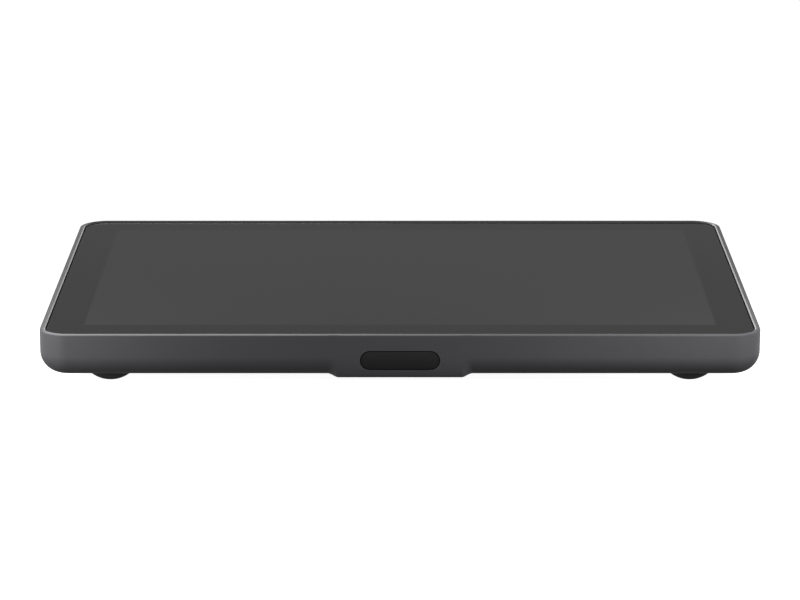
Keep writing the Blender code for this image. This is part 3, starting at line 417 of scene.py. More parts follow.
def metal(name, level, roughness, streak=(900, 40, 900), tint=0.0):
    """Sheet metal or turned steel with fine drawn lines."""
    finish = Finish(name, Metallic=1.0)
    where = finish.node("ShaderNodeTexCoord").outputs["Object"]
    lines = finish.node("ShaderNodeMapping", None, {"Vector": where, "Scale": streak}).outputs[0]
    drawn = finish.grain(lines, 1.0, 4)
    patches = finish.grain(finish.place(), 120, 2)
    finish.feed(Base_Color=finish.blend(patches, grey(level * 0.85, tint), grey(level * 1.1, tint)),
                Roughness=roughness + (drawn - 0.5) * 0.2)
    finish.bump(drawn, 0.01 * MM)
    return finish.material


def housing_graphite():
    """Satin graphite with a very fine grain, a painted highlight that lightens the top of the rim, and a
    polished cut inside the rim that fades near the rear.
    """
    finish = Finish("graphite_housing", Specular_IOR_Level=0.3)
    place = finish.place(HEAD_PLACE)
    across, along, height = finish.axes(place)
    fine = finish.grain(place, 4200)
    broad = finish.grain(place, 28, 3)
    rub = finish.grain(place, 160, 4, 0.6)
    straight = HEAD_WIDTH / 2 - CORNER_RADIUS, HEAD_LENGTH / 2 - CORNER_RADIUS
    past_x = finish.maths("ABSOLUTE", across) - straight[0]
    past_y = finish.maths("ABSOLUTE", along - HEAD_LENGTH / 2) - straight[1]
    corner_x = finish.maths("MAXIMUM", past_x, 0.0)
    corner_y = finish.maths("MAXIMUM", past_y, 0.0)
    inner = finish.maths("MINIMUM", finish.maths("MAXIMUM", past_x, past_y), 0.0)
    inset = CORNER_RADIUS - inner - finish.maths("SQRT", corner_x * corner_x + corner_y * corner_y)
    chamfer_foot = CREST_HEIGHT - RIM_CHAMFER_DROP
    above = finish.step(height, chamfer_foot - 0.05 * MM, chamfer_foot + 0.04 * MM)
    forward = finish.step(along, *(HEAD_LENGTH - fade for fade in RIM_CUT_FADE), 1, 0)
    cut_start = RIM_SLOPE_WIDTH + RIM_CUT_INSET
    cut = finish.step(inset, cut_start, cut_start + 0.08 * MM) * above * forward
    rim = finish.step(height, HEAD_THICKNESS - 0.1 * MM, CREST_HEIGHT)
    tone = broad * 0.5 + fine * 0.3 + rub * 0.2
    satin = finish.blend(tone, grey(0.045, 0.06), grey(0.055, 0.06))
    # Painted highlight: the top of the rim is painted a lighter grey, as if lit from above
    rim_painted_highlight = finish.blend(rim * 0.35, satin, grey(0.08, 0.06))
    grained = 0.46 + (broad - 0.5) * 0.08 + (fine - 0.5) * 0.08
    finish.feed(Base_Color=finish.blend(cut, rim_painted_highlight, grey(0.72)), Metallic=cut * 0.95,
                Roughness=grained - rim * (0.06 + rub * 0.06) - cut * 0.16)
    finish.bump(fine, 0.006 * MM)
    return finish.material


def screen_glass():
    """Cover glass over the black border and the panel, whose lit area is a shade lighter."""
    finish = Finish("cover_glass", IOR=1.52, Metallic=0.0)
    place = finish.place(HEAD_PLACE)
    across, along = finish.axes(place)[:2]
    edge = 0.25 * MM
    side = finish.maths("ABSOLUTE", across)
    middle = finish.maths("ABSOLUTE", along - (FRONT_BORDER + ACTIVE_LENGTH / 2))
    inside = (finish.step(side, ACTIVE_WIDTH / 2 - edge, ACTIVE_WIDTH / 2 + edge, 1, 0)
              * finish.step(middle, ACTIVE_LENGTH / 2 - edge, ACTIVE_LENGTH / 2 + edge, 1, 0))
    dot_across = finish.maths("ABSOLUTE", across - LIGHT_SENSOR_X)
    dot_along = finish.maths("ABSOLUTE", along - (HEAD_LENGTH - LIGHT_SENSOR_FROM_REAR))
    reach = finish.maths("SQRT", dot_across * dot_across + dot_along * dot_along)
    sensor = finish.step(reach, 1.35 * MM, 1.7 * MM, 1, 0)
    cells = finish.grain(place, 5200, 1)
    smears = finish.grain(place, 22, 4, 0.6)
    dust = finish.step(finish.grain(place, 1400, 2, 0.8), 0.72, 0.8)
    border = finish.blend(sensor, grey(0.002, 0.05), grey(0.016, 0.1))
    panel = finish.blend(cells, grey(0.0115), grey(0.0145))
    colour = finish.blend(inside, border, panel)
    finish.feed(Base_Color=finish.blend(dust * 0.02, colour, grey(0.3)),
                Roughness=0.035 + smears * 0.03 + dust * 0.05 + inside * 0.01)
    return finish.material


def window_plastic():
    """Infrared-clear black plastic: polished, with the faint grain of a moulded pane, and a painted highlight
    that lightens it towards the top.
    """
    finish = Finish("sensor_window", Specular_IOR_Level=0.12)
    place = finish.place(HEAD_PLACE)
    height = finish.axes(place)[Z]
    # Painted light: the pane's colour is painted lighter towards its top, as if lit from above
    lift = finish.step(height, WINDOW_Z - WINDOW_HEIGHT / 2, WINDOW_Z + WINDOW_HEIGHT / 2)
    broad = finish.grain(place, 180, 3)
    finish.feed(Base_Color=finish.blend(lift * 0.8 + broad * 0.2, grey(0.011), grey(0.022)),
                Roughness=0.22 + (broad - 0.5) * 0.08)
    finish.bump(broad, 0.004 * MM)
    return finish.material


def rubber(name, level=0.02, roughness=0.78):
    """Matte rubber with a fine pebble and a little dust in it."""
    finish = Finish(name, Specular_IOR_Level=0.3)
    place = finish.place()
    pebble = finish.grain(place, 3200, 3, 0.6)
    dust = finish.grain(place, 260, 4, 0.65)
    finish.feed(Base_Color=finish.blend(finish.step(dust, 0.45, 0.8), grey(level), grey(level * 1.7)),
                Roughness=roughness + (pebble - 0.5) * 0.15)
    finish.bump(pebble, 0.03 * MM)
    return finish.material


def circuit_board():
    """Green solder mask with tracks, vias and bare gold pads."""
    finish = Finish("circuit_board", Specular_IOR_Level=0.5)
    place = finish.place(HEAD_PLACE)
    cells = finish.node("ShaderNodeTexVoronoi", {"distance": "MANHATTAN"}, {"Vector": place, "Scale": 700})
    tracks = finish.step(Amount(finish, cells.outputs["Distance"]), 0.38, 0.42)
    via_cells = finish.node("ShaderNodeTexVoronoi", None, {"Vector": place, "Scale": 420})
    vias = finish.step(Amount(finish, via_cells.outputs["Distance"]), 0.1, 0.13, 1, 0)
    mask = finish.blend(tracks, (0.012, 0.075, 0.035), (0.02, 0.12, 0.055))
    finish.feed(Base_Color=finish.blend(vias, mask, (0.6, 0.42, 0.15)),
                Roughness=0.42 - vias * 0.12, Metallic=vias * 0.9)
    finish.bump(tracks, 0.02 * MM)
    return finish.material


def flat_cable():
    """Amber film with copper lines showing through."""
    finish = Finish("flat_cable", Specular_IOR_Level=0.5)
    place = finish.place()
    across = finish.axes(place)[X]
    lines = finish.step(finish.maths("FRACT", across * (1 / (0.5 * MM))), 0.45, 0.55)
    mottle = finish.grain(place, 600, 2)
    film = finish.blend(mottle, (0.4, 0.17, 0.03), (0.5, 0.23, 0.05))
    finish.feed(Base_Color=finish.blend(lines * 0.4, film, (0.55, 0.22, 0.09)),
                Roughness=0.34 + mottle * 0.12)
    finish.bump(lines, 0.02 * MM)
    return finish.material


def film_sheet():
    """Stack of translucent white sheets."""
    finish = Finish("optical_film", Specular_IOR_Level=0.5)
    place = finish.place(HEAD_PLACE)
    prisms = finish.grain(place, 2400, 1)
    clouds = finish.grain(place, 60, 3)
    finish.feed(Base_Color=finish.blend(clouds, (0.7, 0.71, 0.73), (0.8, 0.81, 0.83)),
                Roughness=0.3 + prisms * 0.12)
    return finish.material


GRAPHITE = housing_graphite()
BASE_PLASTIC = moulded("graphite_base", 0.056, 0.48, specular=0.4, tint=0.06)
SCREEN = screen_glass()
WINDOW = window_plastic()
FOOT_RUBBER = rubber("black_rubber", 0.036)
PAD_RUBBER = rubber("pad_rubber", 0.024, 0.82)
SHEET_STEEL = metal("sheet_steel", 0.55, 0.32)
SCREW_STEEL = metal("screw_steel", 0.5, 0.28, (500, 500, 4000))
MAGNESIUM = moulded("magnesium", 0.45, 0.5, 0.6 * MM, 0.03 * MM, 0.5, metallic=0.9)
BLACK_PLASTIC = moulded("black_plastic", 0.02, 0.5)
GOLD = metal("contact_gold", 0.65, 0.25, (80, 2000, 80), -0.55)
PANEL_GLASS = moulded("panel_glass", 0.014, 0.12, 0.3 * MM, 0.001 * MM, 0.5)
LAMP = moulded("lamp_window", 0.3, 0.3, 0.4 * MM, 0.005 * MM, 0.5, tint=-0.2)
THERMAL = moulded("thermal_pad", 0.38, 0.8, 0.5 * MM, 0.03 * MM, 0.2, tint=0.2)
BOARD = circuit_board()
FLAT_CABLE = flat_cable()
FILM = film_sheet()

NODE_FINISHES = {
    "housing_shell": GRAPHITE, "cover_glass": SCREEN, "sensor_window": WINDOW, "base_shell": BASE_PLASTIC,
    "base_floor": BASE_PLASTIC, "cable_cover": BASE_PLASTIC, "base_pad": PAD_RUBBER,
    "sensor_gasket": FOOT_RUBBER, "panel_tray": SHEET_STEEL, "processor_shield": SHEET_STEEL,
    "radio_module": SHEET_STEEL, "ethernet_jack": SHEET_STEEL, "usb_c_port": SHEET_STEEL,
    "lock_insert": SHEET_STEEL, "chassis_plate": MAGNESIUM, "cable_clamp": BLACK_PLASTIC,
    "reset_button": BLACK_PLASTIC, "reset_switch": BLACK_PLASTIC, "presence_sensor": BLACK_PLASTIC,
    "display_connector": BLACK_PLASTIC, "touch_connector": BLACK_PLASTIC, "glass_adhesive": BLACK_PLASTIC,
    "touch_sensor": FILM, "backlight": FILM, "light_guide": FILM, "lcd_panel": PANEL_GLASS,
    "thermal_pad": THERMAL}
NODE_FAMILIES = {"screw": SCREW_STEEL, "foot": FOOT_RUBBER, "board": BOARD, "antenna": BOARD,
                 "flex": FLAT_CABLE}


def node_finish(name):
    if name in NODE_FINISHES:
        return NODE_FINISHES[name]
    return next(finish for family, finish in NODE_FAMILIES.items() if family in name)


for node_name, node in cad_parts.items():
    node.data.materials.clear()
    node.data.materials.append(node_finish(node_name))


# Head

def chin_radius(x):
    """Radius of the front wall's lower edge, which tightens across the chin."""
    share = min(1.0, max(0.0, (abs(x) - CHIN_WIDTH / 2) / CHIN_BLEND))
    return CHIN_RADIUS + (BOTTOM_RADIUS - CHIN_RADIUS) * share * share * (3 - 2 * share)


def chin(shape):
    """Slices the lower front edge across the chin, and draws the slices forwards to a tighter turn."""
    for i in range(CHIN_SLICES + 1):
        for side in (-1, 1):
            shape.faces(lambda c, n: c.y < BOTTOM_RADIUS and abs(c.x) < HEAD_WIDTH / 2 - CORNER_RADIUS
                        and abs(n.x) < 0.01)
            shape.slice((side * (CHIN_WIDTH / 2 + CHIN_BLEND * i / CHIN_SLICES), 0, 0), (1, 0, 0))
    drawn = bmesh.from_edit_mesh(shape.piece.data)
    lower_edge = BOTTOM_RADIUS + NEAR
    for vert in drawn.verts:
        x, y, z = vert.co
        if max(y, z) < lower_edge and abs(x) < CHIN_WIDTH / 2 + CHIN_BLEND - NEAR:
            share = chin_radius(x) / BOTTOM_RADIUS
            vert.co = (x, y * share, z)
    bmesh.update_edit_mesh(shape.piece.data)


def housing():
    """Tray with a rounded lower edge and chin, a raised rim, a ledge for the glass and a hollow below it."""
    half = HEAD_WIDTH / 2
    tray = rounded_bar("housing", (-half, 0, 0), (half, HEAD_LENGTH, HEAD_THICKNESS), CORNER_RADIUS,
                       segments=20)
    ledge_inset = RIM_WIDTH + LEDGE_WIDTH
    flare = LEDGE_WIDTH - WALL + RIM_WIDTH
    with Shaping(tray) as shape:
        shape.edges(at_level(Z, 0))
        shape.bevel(BOTTOM_RADIUS, 14)
        chin(shape)
        shape.faces(lambda c, n: n.z > 0.9 and c.z > HEAD_THICKNESS - NEAR)
        shape.inset(RIM_SLOPE_WIDTH)
        shape.move(z=RIM_RISE)
        shape.inset(RIM_CHAMFER_WIDTH)
        shape.move(z=-RIM_CHAMFER_DROP)
        shape.extrude(z=-(GLASS_RECESS - RIM_CHAMFER_DROP + LEDGE_DROP))
        shape.inset(LEDGE_WIDTH)
        shape.extrude(z=-LEDGE_THICKNESS)
        shape.extrude()
        bpy.ops.transform.resize(value=(1 + flare / (half - ledge_inset),
                                        1 + flare / (HEAD_LENGTH / 2 - ledge_inset), 1))
        shape.move(z=-LEDGE_FLARE_DROP)
        shape.extrude(z=WALL - (LEDGE_TOP - LEDGE_THICKNESS - LEDGE_FLARE_DROP))
        shape.edges(at_level(Z, WALL))
        shape.bevel(BOTTOM_RADIUS - WALL, 6)
        shape.edges(at_level(Z, HEAD_THICKNESS))
        shape.bevel(RIM_EDGE, 2)
        shape.edges(at_level(Z, CREST_HEIGHT))
        shape.bevel(CREST_EDGE, 2)
    combine(tray, pill("window_hole", WINDOW_WIDTH, WINDOW_HEIGHT, -1 * MM, 2 * WALL))
    with Shaping(tray) as shape:
        shape.creases(at_level(Y, 0), lambda end: abs(end.x) < WINDOW_WIDTH
                      and abs(end.z - WINDOW_Z) < WINDOW_HEIGHT)
        shape.bevel(WINDOW_CHAMFER, 1)
    for x, y in feet_places():
        combine(tray, rod("foot_seat", (x, y, 0), foot_radius() + GAP, 2 * FOOT_SEAT, sides=48))
    return complete(tray, GRAPHITE, "controller", ["housing_shell"], HEAD_PLACE, 40)


def pill(name, width, height, front, back, segments=20):
    """A bar with round ends in the front wall's plane, from front to back."""
    low = (-width / 2, front, WINDOW_Z - height / 2)
    high = (width / 2, back, WINDOW_Z + height / 2)
    return rounded_bar(name, low, high, height / 2 - PILL_END_FLAT, Y, segments)


def feet_places():
    return [(side * (HEAD_WIDTH / 2 - FOOT_SIDE_INSET), FOOT_FROM_FRONT) for side in (-1, 1)]


def foot_centre_height():
    """Height of the dome's centre above the underside, which lets its lowest point touch the table."""
    return (FOOT_DOME_RADIUS - HEAD_CLEARANCE - FOOT_FROM_FRONT * math.sin(TILT)) / math.cos(TILT)


def foot_radius():
    return math.sqrt(FOOT_DOME_RADIUS ** 2 - foot_centre_height() ** 2)


def front_feet():
    """Rubber domes with a softened upper edge, set in the housing's seats."""
    for (x, y), name in zip(feet_places(), ("front_foot_left", "front_foot_right")):
        bpy.ops.object.select_all(action="DESELECT")
        bpy.ops.mesh.primitive_uv_sphere_add(segments=64, ring_count=48, radius=FOOT_DOME_RADIUS,
                                             location=(x, y, foot_centre_height()))
        foot = named(name.replace("front", "domed"))
        with Shaping(foot) as shape:
            shape.all()
            shape.slice((0, 0, FOOT_SEAT - GAP), (0, 0, 1), keep_below=True)
            shape.edges(at_level(Z, FOOT_SEAT - GAP))
            shape.bevel(SOFT_EDGE, 3)
        complete(foot, FOOT_RUBBER, "controller", [name], HEAD_PLACE)


def cover_glass():
    """Polished glass with a ground edge, a hair's breadth inside the rim."""
    inset = RIM_WIDTH + GAP
    half = HEAD_WIDTH / 2 - inset
    low, high = (-half, inset, GLASS_TOP - GLASS), (half, HEAD_LENGTH - inset, GLASS_TOP)
    glass = rounded_bar("screen_glass", low, high, CORNER_RADIUS - inset, segments=20)
    soften(glass, Z, GLASS_TOP, 0.22 * MM, 4)
    soften(glass, Z, GLASS_TOP - GLASS, 0.1 * MM, 1)
    complete(glass, SCREEN, "controller", ["cover_glass"], HEAD_PLACE)


def sensor_window():
    pane = pill("window_pane", WINDOW_WIDTH - 2 * GAP, WINDOW_HEIGHT - 2 * GAP, WINDOW_RECESS, WALL)
    soften(pane, Y, WINDOW_RECESS, 0.2 * MM, 3)
    complete(pane, WINDOW, "controller", ["sensor_window"], HEAD_PLACE)


# Base

SHELL_LOW, SHELL_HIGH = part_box("base_shell")
JACK_LOW, JACK_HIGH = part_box("ethernet_jack")
USB_LOW, USB_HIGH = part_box("usb_c_port")
BAY_FLOOR = SHELL_LOW.z + BASE_WALL
PORT_WALL_Y = JACK_HIGH.y


def below_head(piece, distance):
    """Cuts a piece off along a plane parallel to the head's underside."""
    with Shaping(piece) as shape:
        shape.all()
        shape.slice(HEAD_PLACE @ Vector((0, 0, -distance)), HEAD_PLACE.to_3x3() @ Vector((0, 0, 1)),
                    keep_below=True)
    return piece


def rounded_edges(piece, width, segments=2, angle=40):
    apply_modifier(piece, "BEVEL", width=width, segments=segments, limit_method="ANGLE",
                   angle_limit=math.radians(angle), harden_normals=False)
    return piece


def node_middle(name):
    low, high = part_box(name)
    return (low + high) / 2


def screw_rows(family, count):
    return [node_middle(f"{family}_{i}") for i in range(1, count + 1)]


def drill(piece, name, places, height, length):
    """Cuts a screw hole at each place."""
    for place in places:
        combine(piece, rod(name, (place.x, place.y, height), SCREW_HOLE, length, sides=24))


def base_shell():
    """Wedge, hollow round the board, with a cable bay and cuts for its sockets, button and lock plate."""
    shell = rounded_bar("base_wedge", SHELL_LOW, SHELL_HIGH, BASE_CORNER, segments=18)
    below_head(shell, GAP)
    with Shaping(shell) as shape:
        shape.creases(at_level(Z, SHELL_LOW.z))
        shape.bevel(0.5 * MM, 4)
        shape.creases(lambda a, b: a.z > SHELL_LOW.z + 5 * MM and b.z > SHELL_LOW.z + 5 * MM
                      and math.hypot(a.x - b.x, a.y - b.y) > NEAR)
        shape.bevel(SOFT_EDGE, 2)

    side, rear = SHELL_HIGH.x - BASE_WALL, SHELL_HIGH.y - BASE_WALL
    hollow = rounded_bar("hollow", (-side, SHELL_LOW.y + BASE_WALL, SHELL_LOW.z - MM),
                         (side, rear, SHELL_HIGH.z), BASE_CORNER - BASE_WALL, segments=12)
    combine(hollow, bar("bay_walls", (-BAY_WIDTH / 2 - BASE_WALL, PORT_WALL_Y - BASE_WALL, 0),
                        (BAY_WIDTH / 2 + BASE_WALL, SHELL_HIGH.y + MM, 2 * SHELL_HIGH.z)))
    combine(shell, below_head(hollow, GAP + BASE_WALL))
    bay = bar("bay", (-BAY_WIDTH / 2, PORT_WALL_Y, BAY_FLOOR),
              (BAY_WIDTH / 2, SHELL_HIGH.y + MM, SHELL_HIGH.z))
    combine(shell, below_head(bay, GAP + BASE_WALL))

    floor_screws, clamp_screws = screw_rows("floor_screw", 4), screw_rows("clamp_screw", 2)
    for place in floor_screws:
        boss = rod("floor_boss", (place.x, place.y, SHELL_LOW.z + 4.5 * MM), 3.2 * MM, 9 * MM)
        combine(shell, boss, "UNION")
    for place in clamp_screws:
        boss = rod("clamp_boss", (place.x, place.y, BAY_FLOOR + 0.5 * MM), 2.2 * MM, 2 * MM)
        combine(shell, boss, "UNION")
    drill(shell, "floor_thread", floor_screws, SHELL_LOW.z + 3.25 * MM, 8.5 * MM)
    drill(shell, "clamp_thread", clamp_screws, BAY_FLOOR + 0.75 * MM, 4.5 * MM)
    for place in screw_rows("base_screw", 4):
        hole = rod("head_screw_hole", (0, 0, 0), SCREW_HOLE, 3 * BASE_WALL, sides=24)
        hole.data.transform(Matrix.Translation(place) @ Matrix.Rotation(TILT, 4, "X"))
        combine(shell, hole)

    wall_front, wall_rear = PORT_WALL_Y - 2 * BASE_WALL, PORT_WALL_Y + MM
    combine(shell, rounded_bar("jack_hole", (JACK_LOW.x - GAP, wall_front, JACK_LOW.z - GAP),
                               (JACK_HIGH.x + GAP, wall_rear, JACK_HIGH.z + GAP), 0.6 * MM, Y, 5))
    half = (USB_HIGH.z - USB_LOW.z) / 2 + GAP
    combine(shell, rounded_bar("usb_hole", (USB_LOW.x - GAP, wall_front, USB_LOW.z - GAP),
                               (USB_HIGH.x + GAP, wall_rear, USB_HIGH.z + GAP), half - ROUND_END_FLAT, Y, 12))
    button = node_middle("reset_button")
    combine(shell, rod("button_hole", (button.x, PORT_WALL_Y - BASE_WALL / 2, button.z), BUTTON_RADIUS + GAP,
                       3 * BASE_WALL, Y, 40))
    lock_low, lock_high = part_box("lock_insert")
    combine(shell, rounded_bar("lock_seat", (lock_low.x - GAP - 2 * MM, lock_low.y - GAP, lock_low.z - GAP),
                               (SHELL_HIGH.x + MM, lock_high.y + GAP, lock_high.z + GAP), 0.8 * MM, X, 6))

    def beside_bay(end):
        return abs(end.x) < BAY_WIDTH / 2 + NEAR

    with Shaping(shell) as shape:
        shape.creases(at_level(Y, SHELL_HIGH.y), beside_bay)
        shape.bevel(SOFT_EDGE, 2)
        shape.creases(at_level(Y, PORT_WALL_Y), lambda end: abs(end.x) < BAY_WIDTH / 2 - MM
                      and BAY_FLOOR + NEAR < end.z < JACK_HIGH.z + MM)
        shape.bevel(0.2 * MM, 2)
        shape.creases(at_level(X, SHELL_HIGH.x), lambda end: abs(end.y - lock_low.y) < 20 * MM)
        shape.bevel(0.2 * MM, 2)
    complete(shell, BASE_PLASTIC, "controller", ["base_shell"])


def base_floor():
    """Floor plate with softened edges, holes for its screws and standoffs for the port board."""
    low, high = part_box("base_floor")
    top = low.z + FLOOR_THICKNESS
    plate = rounded_bar("floor_plate", low, (high.x, high.y, top), BASE_CORNER - 0.4 * MM, segments=18)
    soften(plate, Z, low.z, 0.4 * MM)
    for place in screw_rows("port_board_screw", 2):
        standoff = rod("standoff", (place.x, place.y, top + 0.35 * MM), 2.2 * MM, high.z - top + 0.5 * MM)
        combine(plate, standoff, "UNION")
        drill(plate, "standoff_thread", [place], high.z, 3.2 * MM)
    drill(plate, "plate_hole", screw_rows("floor_screw", 4), top, 8 * MM)
    complete(plate, BASE_PLASTIC, "controller", ["base_floor"])


def base_pad():
    """Rubber pad with a rounded lower edge and shallow grooves, open round the floor screws."""
    low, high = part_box("base_pad")
    pad = rounded_bar("grip_pad", low, high, BASE_CORNER - 1.5 * MM, segments=18)
    soften(pad, Z, low.z, 0.35 * MM, 4)
    soften(pad, Z, high.z, 0.15 * MM, 1)
    pitch, border = 3.5 * MM, 14 * MM
    rows = int((high.y - low.y - 20 * MM) / pitch)
    start = (low.y + high.y - rows * pitch) / 2
    groove = rounded_bar("groove", (low.x + border, start - 0.5 * MM, low.z - MM),
                         (high.x - border, start + 0.5 * MM, low.z + 0.3 * MM), 0.49 * MM, Z, 5)
    repeat(groove, rows + 1, y=pitch)
    combine(pad, groove)
    for place in screw_rows("floor_screw", 4):
        combine(pad, rod("pad_hole", (place.x, place.y, 0), SCREW_HEAD_RADIUS + 0.5 * MM, 4 * MM))
    complete(pad, PAD_RUBBER, "controller", ["base_pad"])


def cable_cover():
    """Lift-off cover: a softened panel with a rounded notch, finger grooves and springy tongues."""
    low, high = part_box("cable_cover")
    inner = high.y - BASE_WALL
    panel = bar("bay_cover", (low.x, inner, low.z), high)
    notch_top = low.z + NOTCH_HEIGHT
    notch = rounded_bar("cable_notch", (-NOTCH_WIDTH / 2, inner - MM, low.z - 5 * MM),
                        (NOTCH_WIDTH / 2, high.y + MM, notch_top), 2.5 * MM, Y, 10)
    combine(panel, notch)
    rounded_edges(panel, 0.3 * MM, 3)
    for i in range(5):
        height = notch_top + (6 + 2 * i) * MM
        groove = rounded_bar("finger_groove", (-14 * MM, high.y - 0.35 * MM, height - 0.4 * MM),
                             (14 * MM, high.y + MM, height + 0.4 * MM), 0.39 * MM, Y, 6)
        combine(panel, groove)
    thickness = 1.6 * MM
    top = panel_top(low.y) - 2 * MM
    for x in (low.x, high.x - thickness):
        tongue = bar("tongue", (x, low.y, low.z + 4 * MM), (x + thickness, inner + 0.6 * MM, top))
        with Shaping(tongue) as shape:
            shape.edges(lambda a, b: a.y < low.y + NEAR and b.y < low.y + NEAR)
            shape.bevel(0.4 * MM, 3)
        combine(panel, tongue, "UNION")
    complete(panel, BASE_PLASTIC, "cable_cover", ["cable_cover"])


def panel_top(y):
    """Height that the cover's tongues may reach at a place along the base."""
    return (HEAD_CLEARANCE + (y - HEAD_ORIGIN.y) * math.tan(TILT)
            - (GAP + BASE_WALL + COVER_FIT) / math.cos(TILT))


def ethernet_jack():
    """Sheet-steel can with a moulded insert, a keyed mouth, eight sprung contacts and two lamp windows."""
    middle = (JACK_LOW + JACK_HIGH) / 2
    rear = JACK_HIGH.y
    can = bar("jack_can", JACK_LOW, JACK_HIGH)
    rounded_edges(can, 0.4 * MM, 3)
    skin = 0.45 * MM
    combine(can, bar("can_room", (JACK_LOW.x + skin, rear - 15 * MM, JACK_LOW.z + skin),
                     (JACK_HIGH.x - skin, rear + MM, JACK_HIGH.z - skin)))
    complete(can, SHEET_STEEL, "controller", ["ethernet_jack"])

    fit = skin + 0.05 * MM
    insert = bar("jack_insert", (JACK_LOW.x + fit, rear - 14.8 * MM, JACK_LOW.z + fit),
                 (JACK_HIGH.x - fit, rear - 0.15 * MM, JACK_HIGH.z - fit))
    rounded_edges(insert, 0.15 * MM, 2)
    mouth_width, mouth_depth, mouth_height = JACK_MOUTH
    mouth_floor, mouth_roof = middle.z - mouth_height / 2, middle.z + mouth_height / 2
    combine(insert, bar("mouth", (middle.x - mouth_width / 2, rear - mouth_depth, mouth_floor + 1.4 * MM),
                        (middle.x + mouth_width / 2, rear + MM, mouth_roof)))
    for width, drop in ((6.4, 0.6), (3.3, 0)):
        combine(insert, bar("latch_room", (middle.x - width / 2 * MM, rear - mouth_depth,
                                           mouth_floor + drop * MM),
                            (middle.x + width / 2 * MM, rear + MM, middle.z)))
    lamp_z = mouth_roof + 0.72 * MM
    for side, hand in ((-1, "left"), (1, "right")):
        x = middle.x + side * 4.6 * MM
        combine(insert, bar("lamp_room", (x - 1.35 * MM, rear - 3 * MM, lamp_z - 0.45 * MM),
                            (x + 1.35 * MM, rear + MM, lamp_z + 0.45 * MM)))
        lamp = bar(f"jack_lamp_{hand}", (x - 1.3 * MM, rear - 2.9 * MM, lamp_z - 0.4 * MM),
                   (x + 1.3 * MM, rear - 0.1 * MM, lamp_z + 0.4 * MM))
        rounded_edges(lamp, 0.15 * MM, 3)
        complete(lamp, LAMP, "controller", ())
    complete(insert, BLACK_PLASTIC, "controller", ())

    first = middle.x - 3.5 * JACK_CONTACT_PITCH
    top = mouth_roof - 0.5 * MM
    wire = bar("jack_contacts", (first - 0.17 * MM, rear - 11.5 * MM, top - 0.3 * MM),
               (first + 0.17 * MM, rear - 2.5 * MM, top))
    with Shaping(wire) as shape:
        shape.faces(lambda c, n: n.y < -0.9)
        shape.move(z=-3.6 * MM)
        shape.faces(lambda c, n: n.y > 0.9)
        shape.extrude(y=0.5 * MM, z=0.15 * MM)
    rounded_edges(wire, 0.06 * MM, 2)
    repeat(wire, 8, x=JACK_CONTACT_PITCH)
    complete(wire, GOLD, "controller", ())


def usb_c_port():
    """Oval steel shell with a tongue that carries its contacts."""
    half = (USB_HIGH.z - USB_LOW.z) / 2
    middle = (USB_LOW + USB_HIGH) / 2
    rear = USB_HIGH.y
    shell = rounded_bar("usb_shell", USB_LOW, USB_HIGH, half - ROUND_END_FLAT, Y, 14)
    wall = 0.32 * MM
    combine(shell, rounded_bar("usb_mouth", (USB_LOW.x + wall, rear - 7.5 * MM, USB_LOW.z + wall),
                               (USB_HIGH.x - wall, rear + MM, USB_HIGH.z - wall),
                               half - wall - ROUND_END_FLAT, Y, 14))
    soften(shell, Y, rear, 0.1 * MM, 2)
    complete(shell, SHEET_STEEL, "controller", ["usb_c_port"])
    tongue = rounded_bar("usb_tongue", (middle.x - 3.3 * MM, rear - 7.4 * MM, middle.z - 0.35 * MM),
                         (middle.x + 3.3 * MM, rear - 1.2 * MM, middle.z + 0.35 * MM), 0.3 * MM, Y, 4)
    soften(tongue, Y, rear - 1.2 * MM, 0.12 * MM, 2)
    complete(tongue, BLACK_PLASTIC, "controller", ())
    first = middle.x - 5.5 * USB_CONTACT_PITCH
    contact = bar("usb_contacts", (first - 0.12 * MM, rear - 6.5 * MM, middle.z + 0.33 * MM),
                  (first + 0.12 * MM, rear - 1.6 * MM, middle.z + 0.42 * MM))
    rounded_edges(contact, 0.03 * MM, 1)
    repeat(contact, 12, x=USB_CONTACT_PITCH)
    complete(contact, GOLD, "controller", ())


def reset_button():
    """Turned button: stem, flange and a cap with a softened rim and a dished face."""
    low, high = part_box("reset_button")
    middle = (low + high) / 2
    flange = PORT_WALL_Y - BASE_WALL - GAP
    start = flange - FLANGE
    piece = rod("push_button", (middle.x, (low.y + start) / 2, middle.z), STEM_RADIUS, start - low.y, Y, 48)
    with Shaping(piece) as shape:
        shape.edges(at_level(Y, low.y))
        shape.bevel(0.2 * MM, 2)
        shape.faces(lambda c, n: n.y > 0.9 and c.y > start - NEAR)
        shape.extrude()
        bpy.ops.transform.resize(value=(BUTTON_FLANGE_RADIUS / STEM_RADIUS,) * 3)
        shape.extrude(y=FLANGE)
        shape.extrude()
        bpy.ops.transform.resize(value=(BUTTON_RADIUS / BUTTON_FLANGE_RADIUS,) * 3)
        shape.extrude(y=high.y - flange - 0.3 * MM)
        for width, lift in BUTTON_FACE:
            shape.inset(width * MM)
            shape.move(y=lift * MM)
    complete(piece, BLACK_PLASTIC, "reset_button", ["reset_button"])


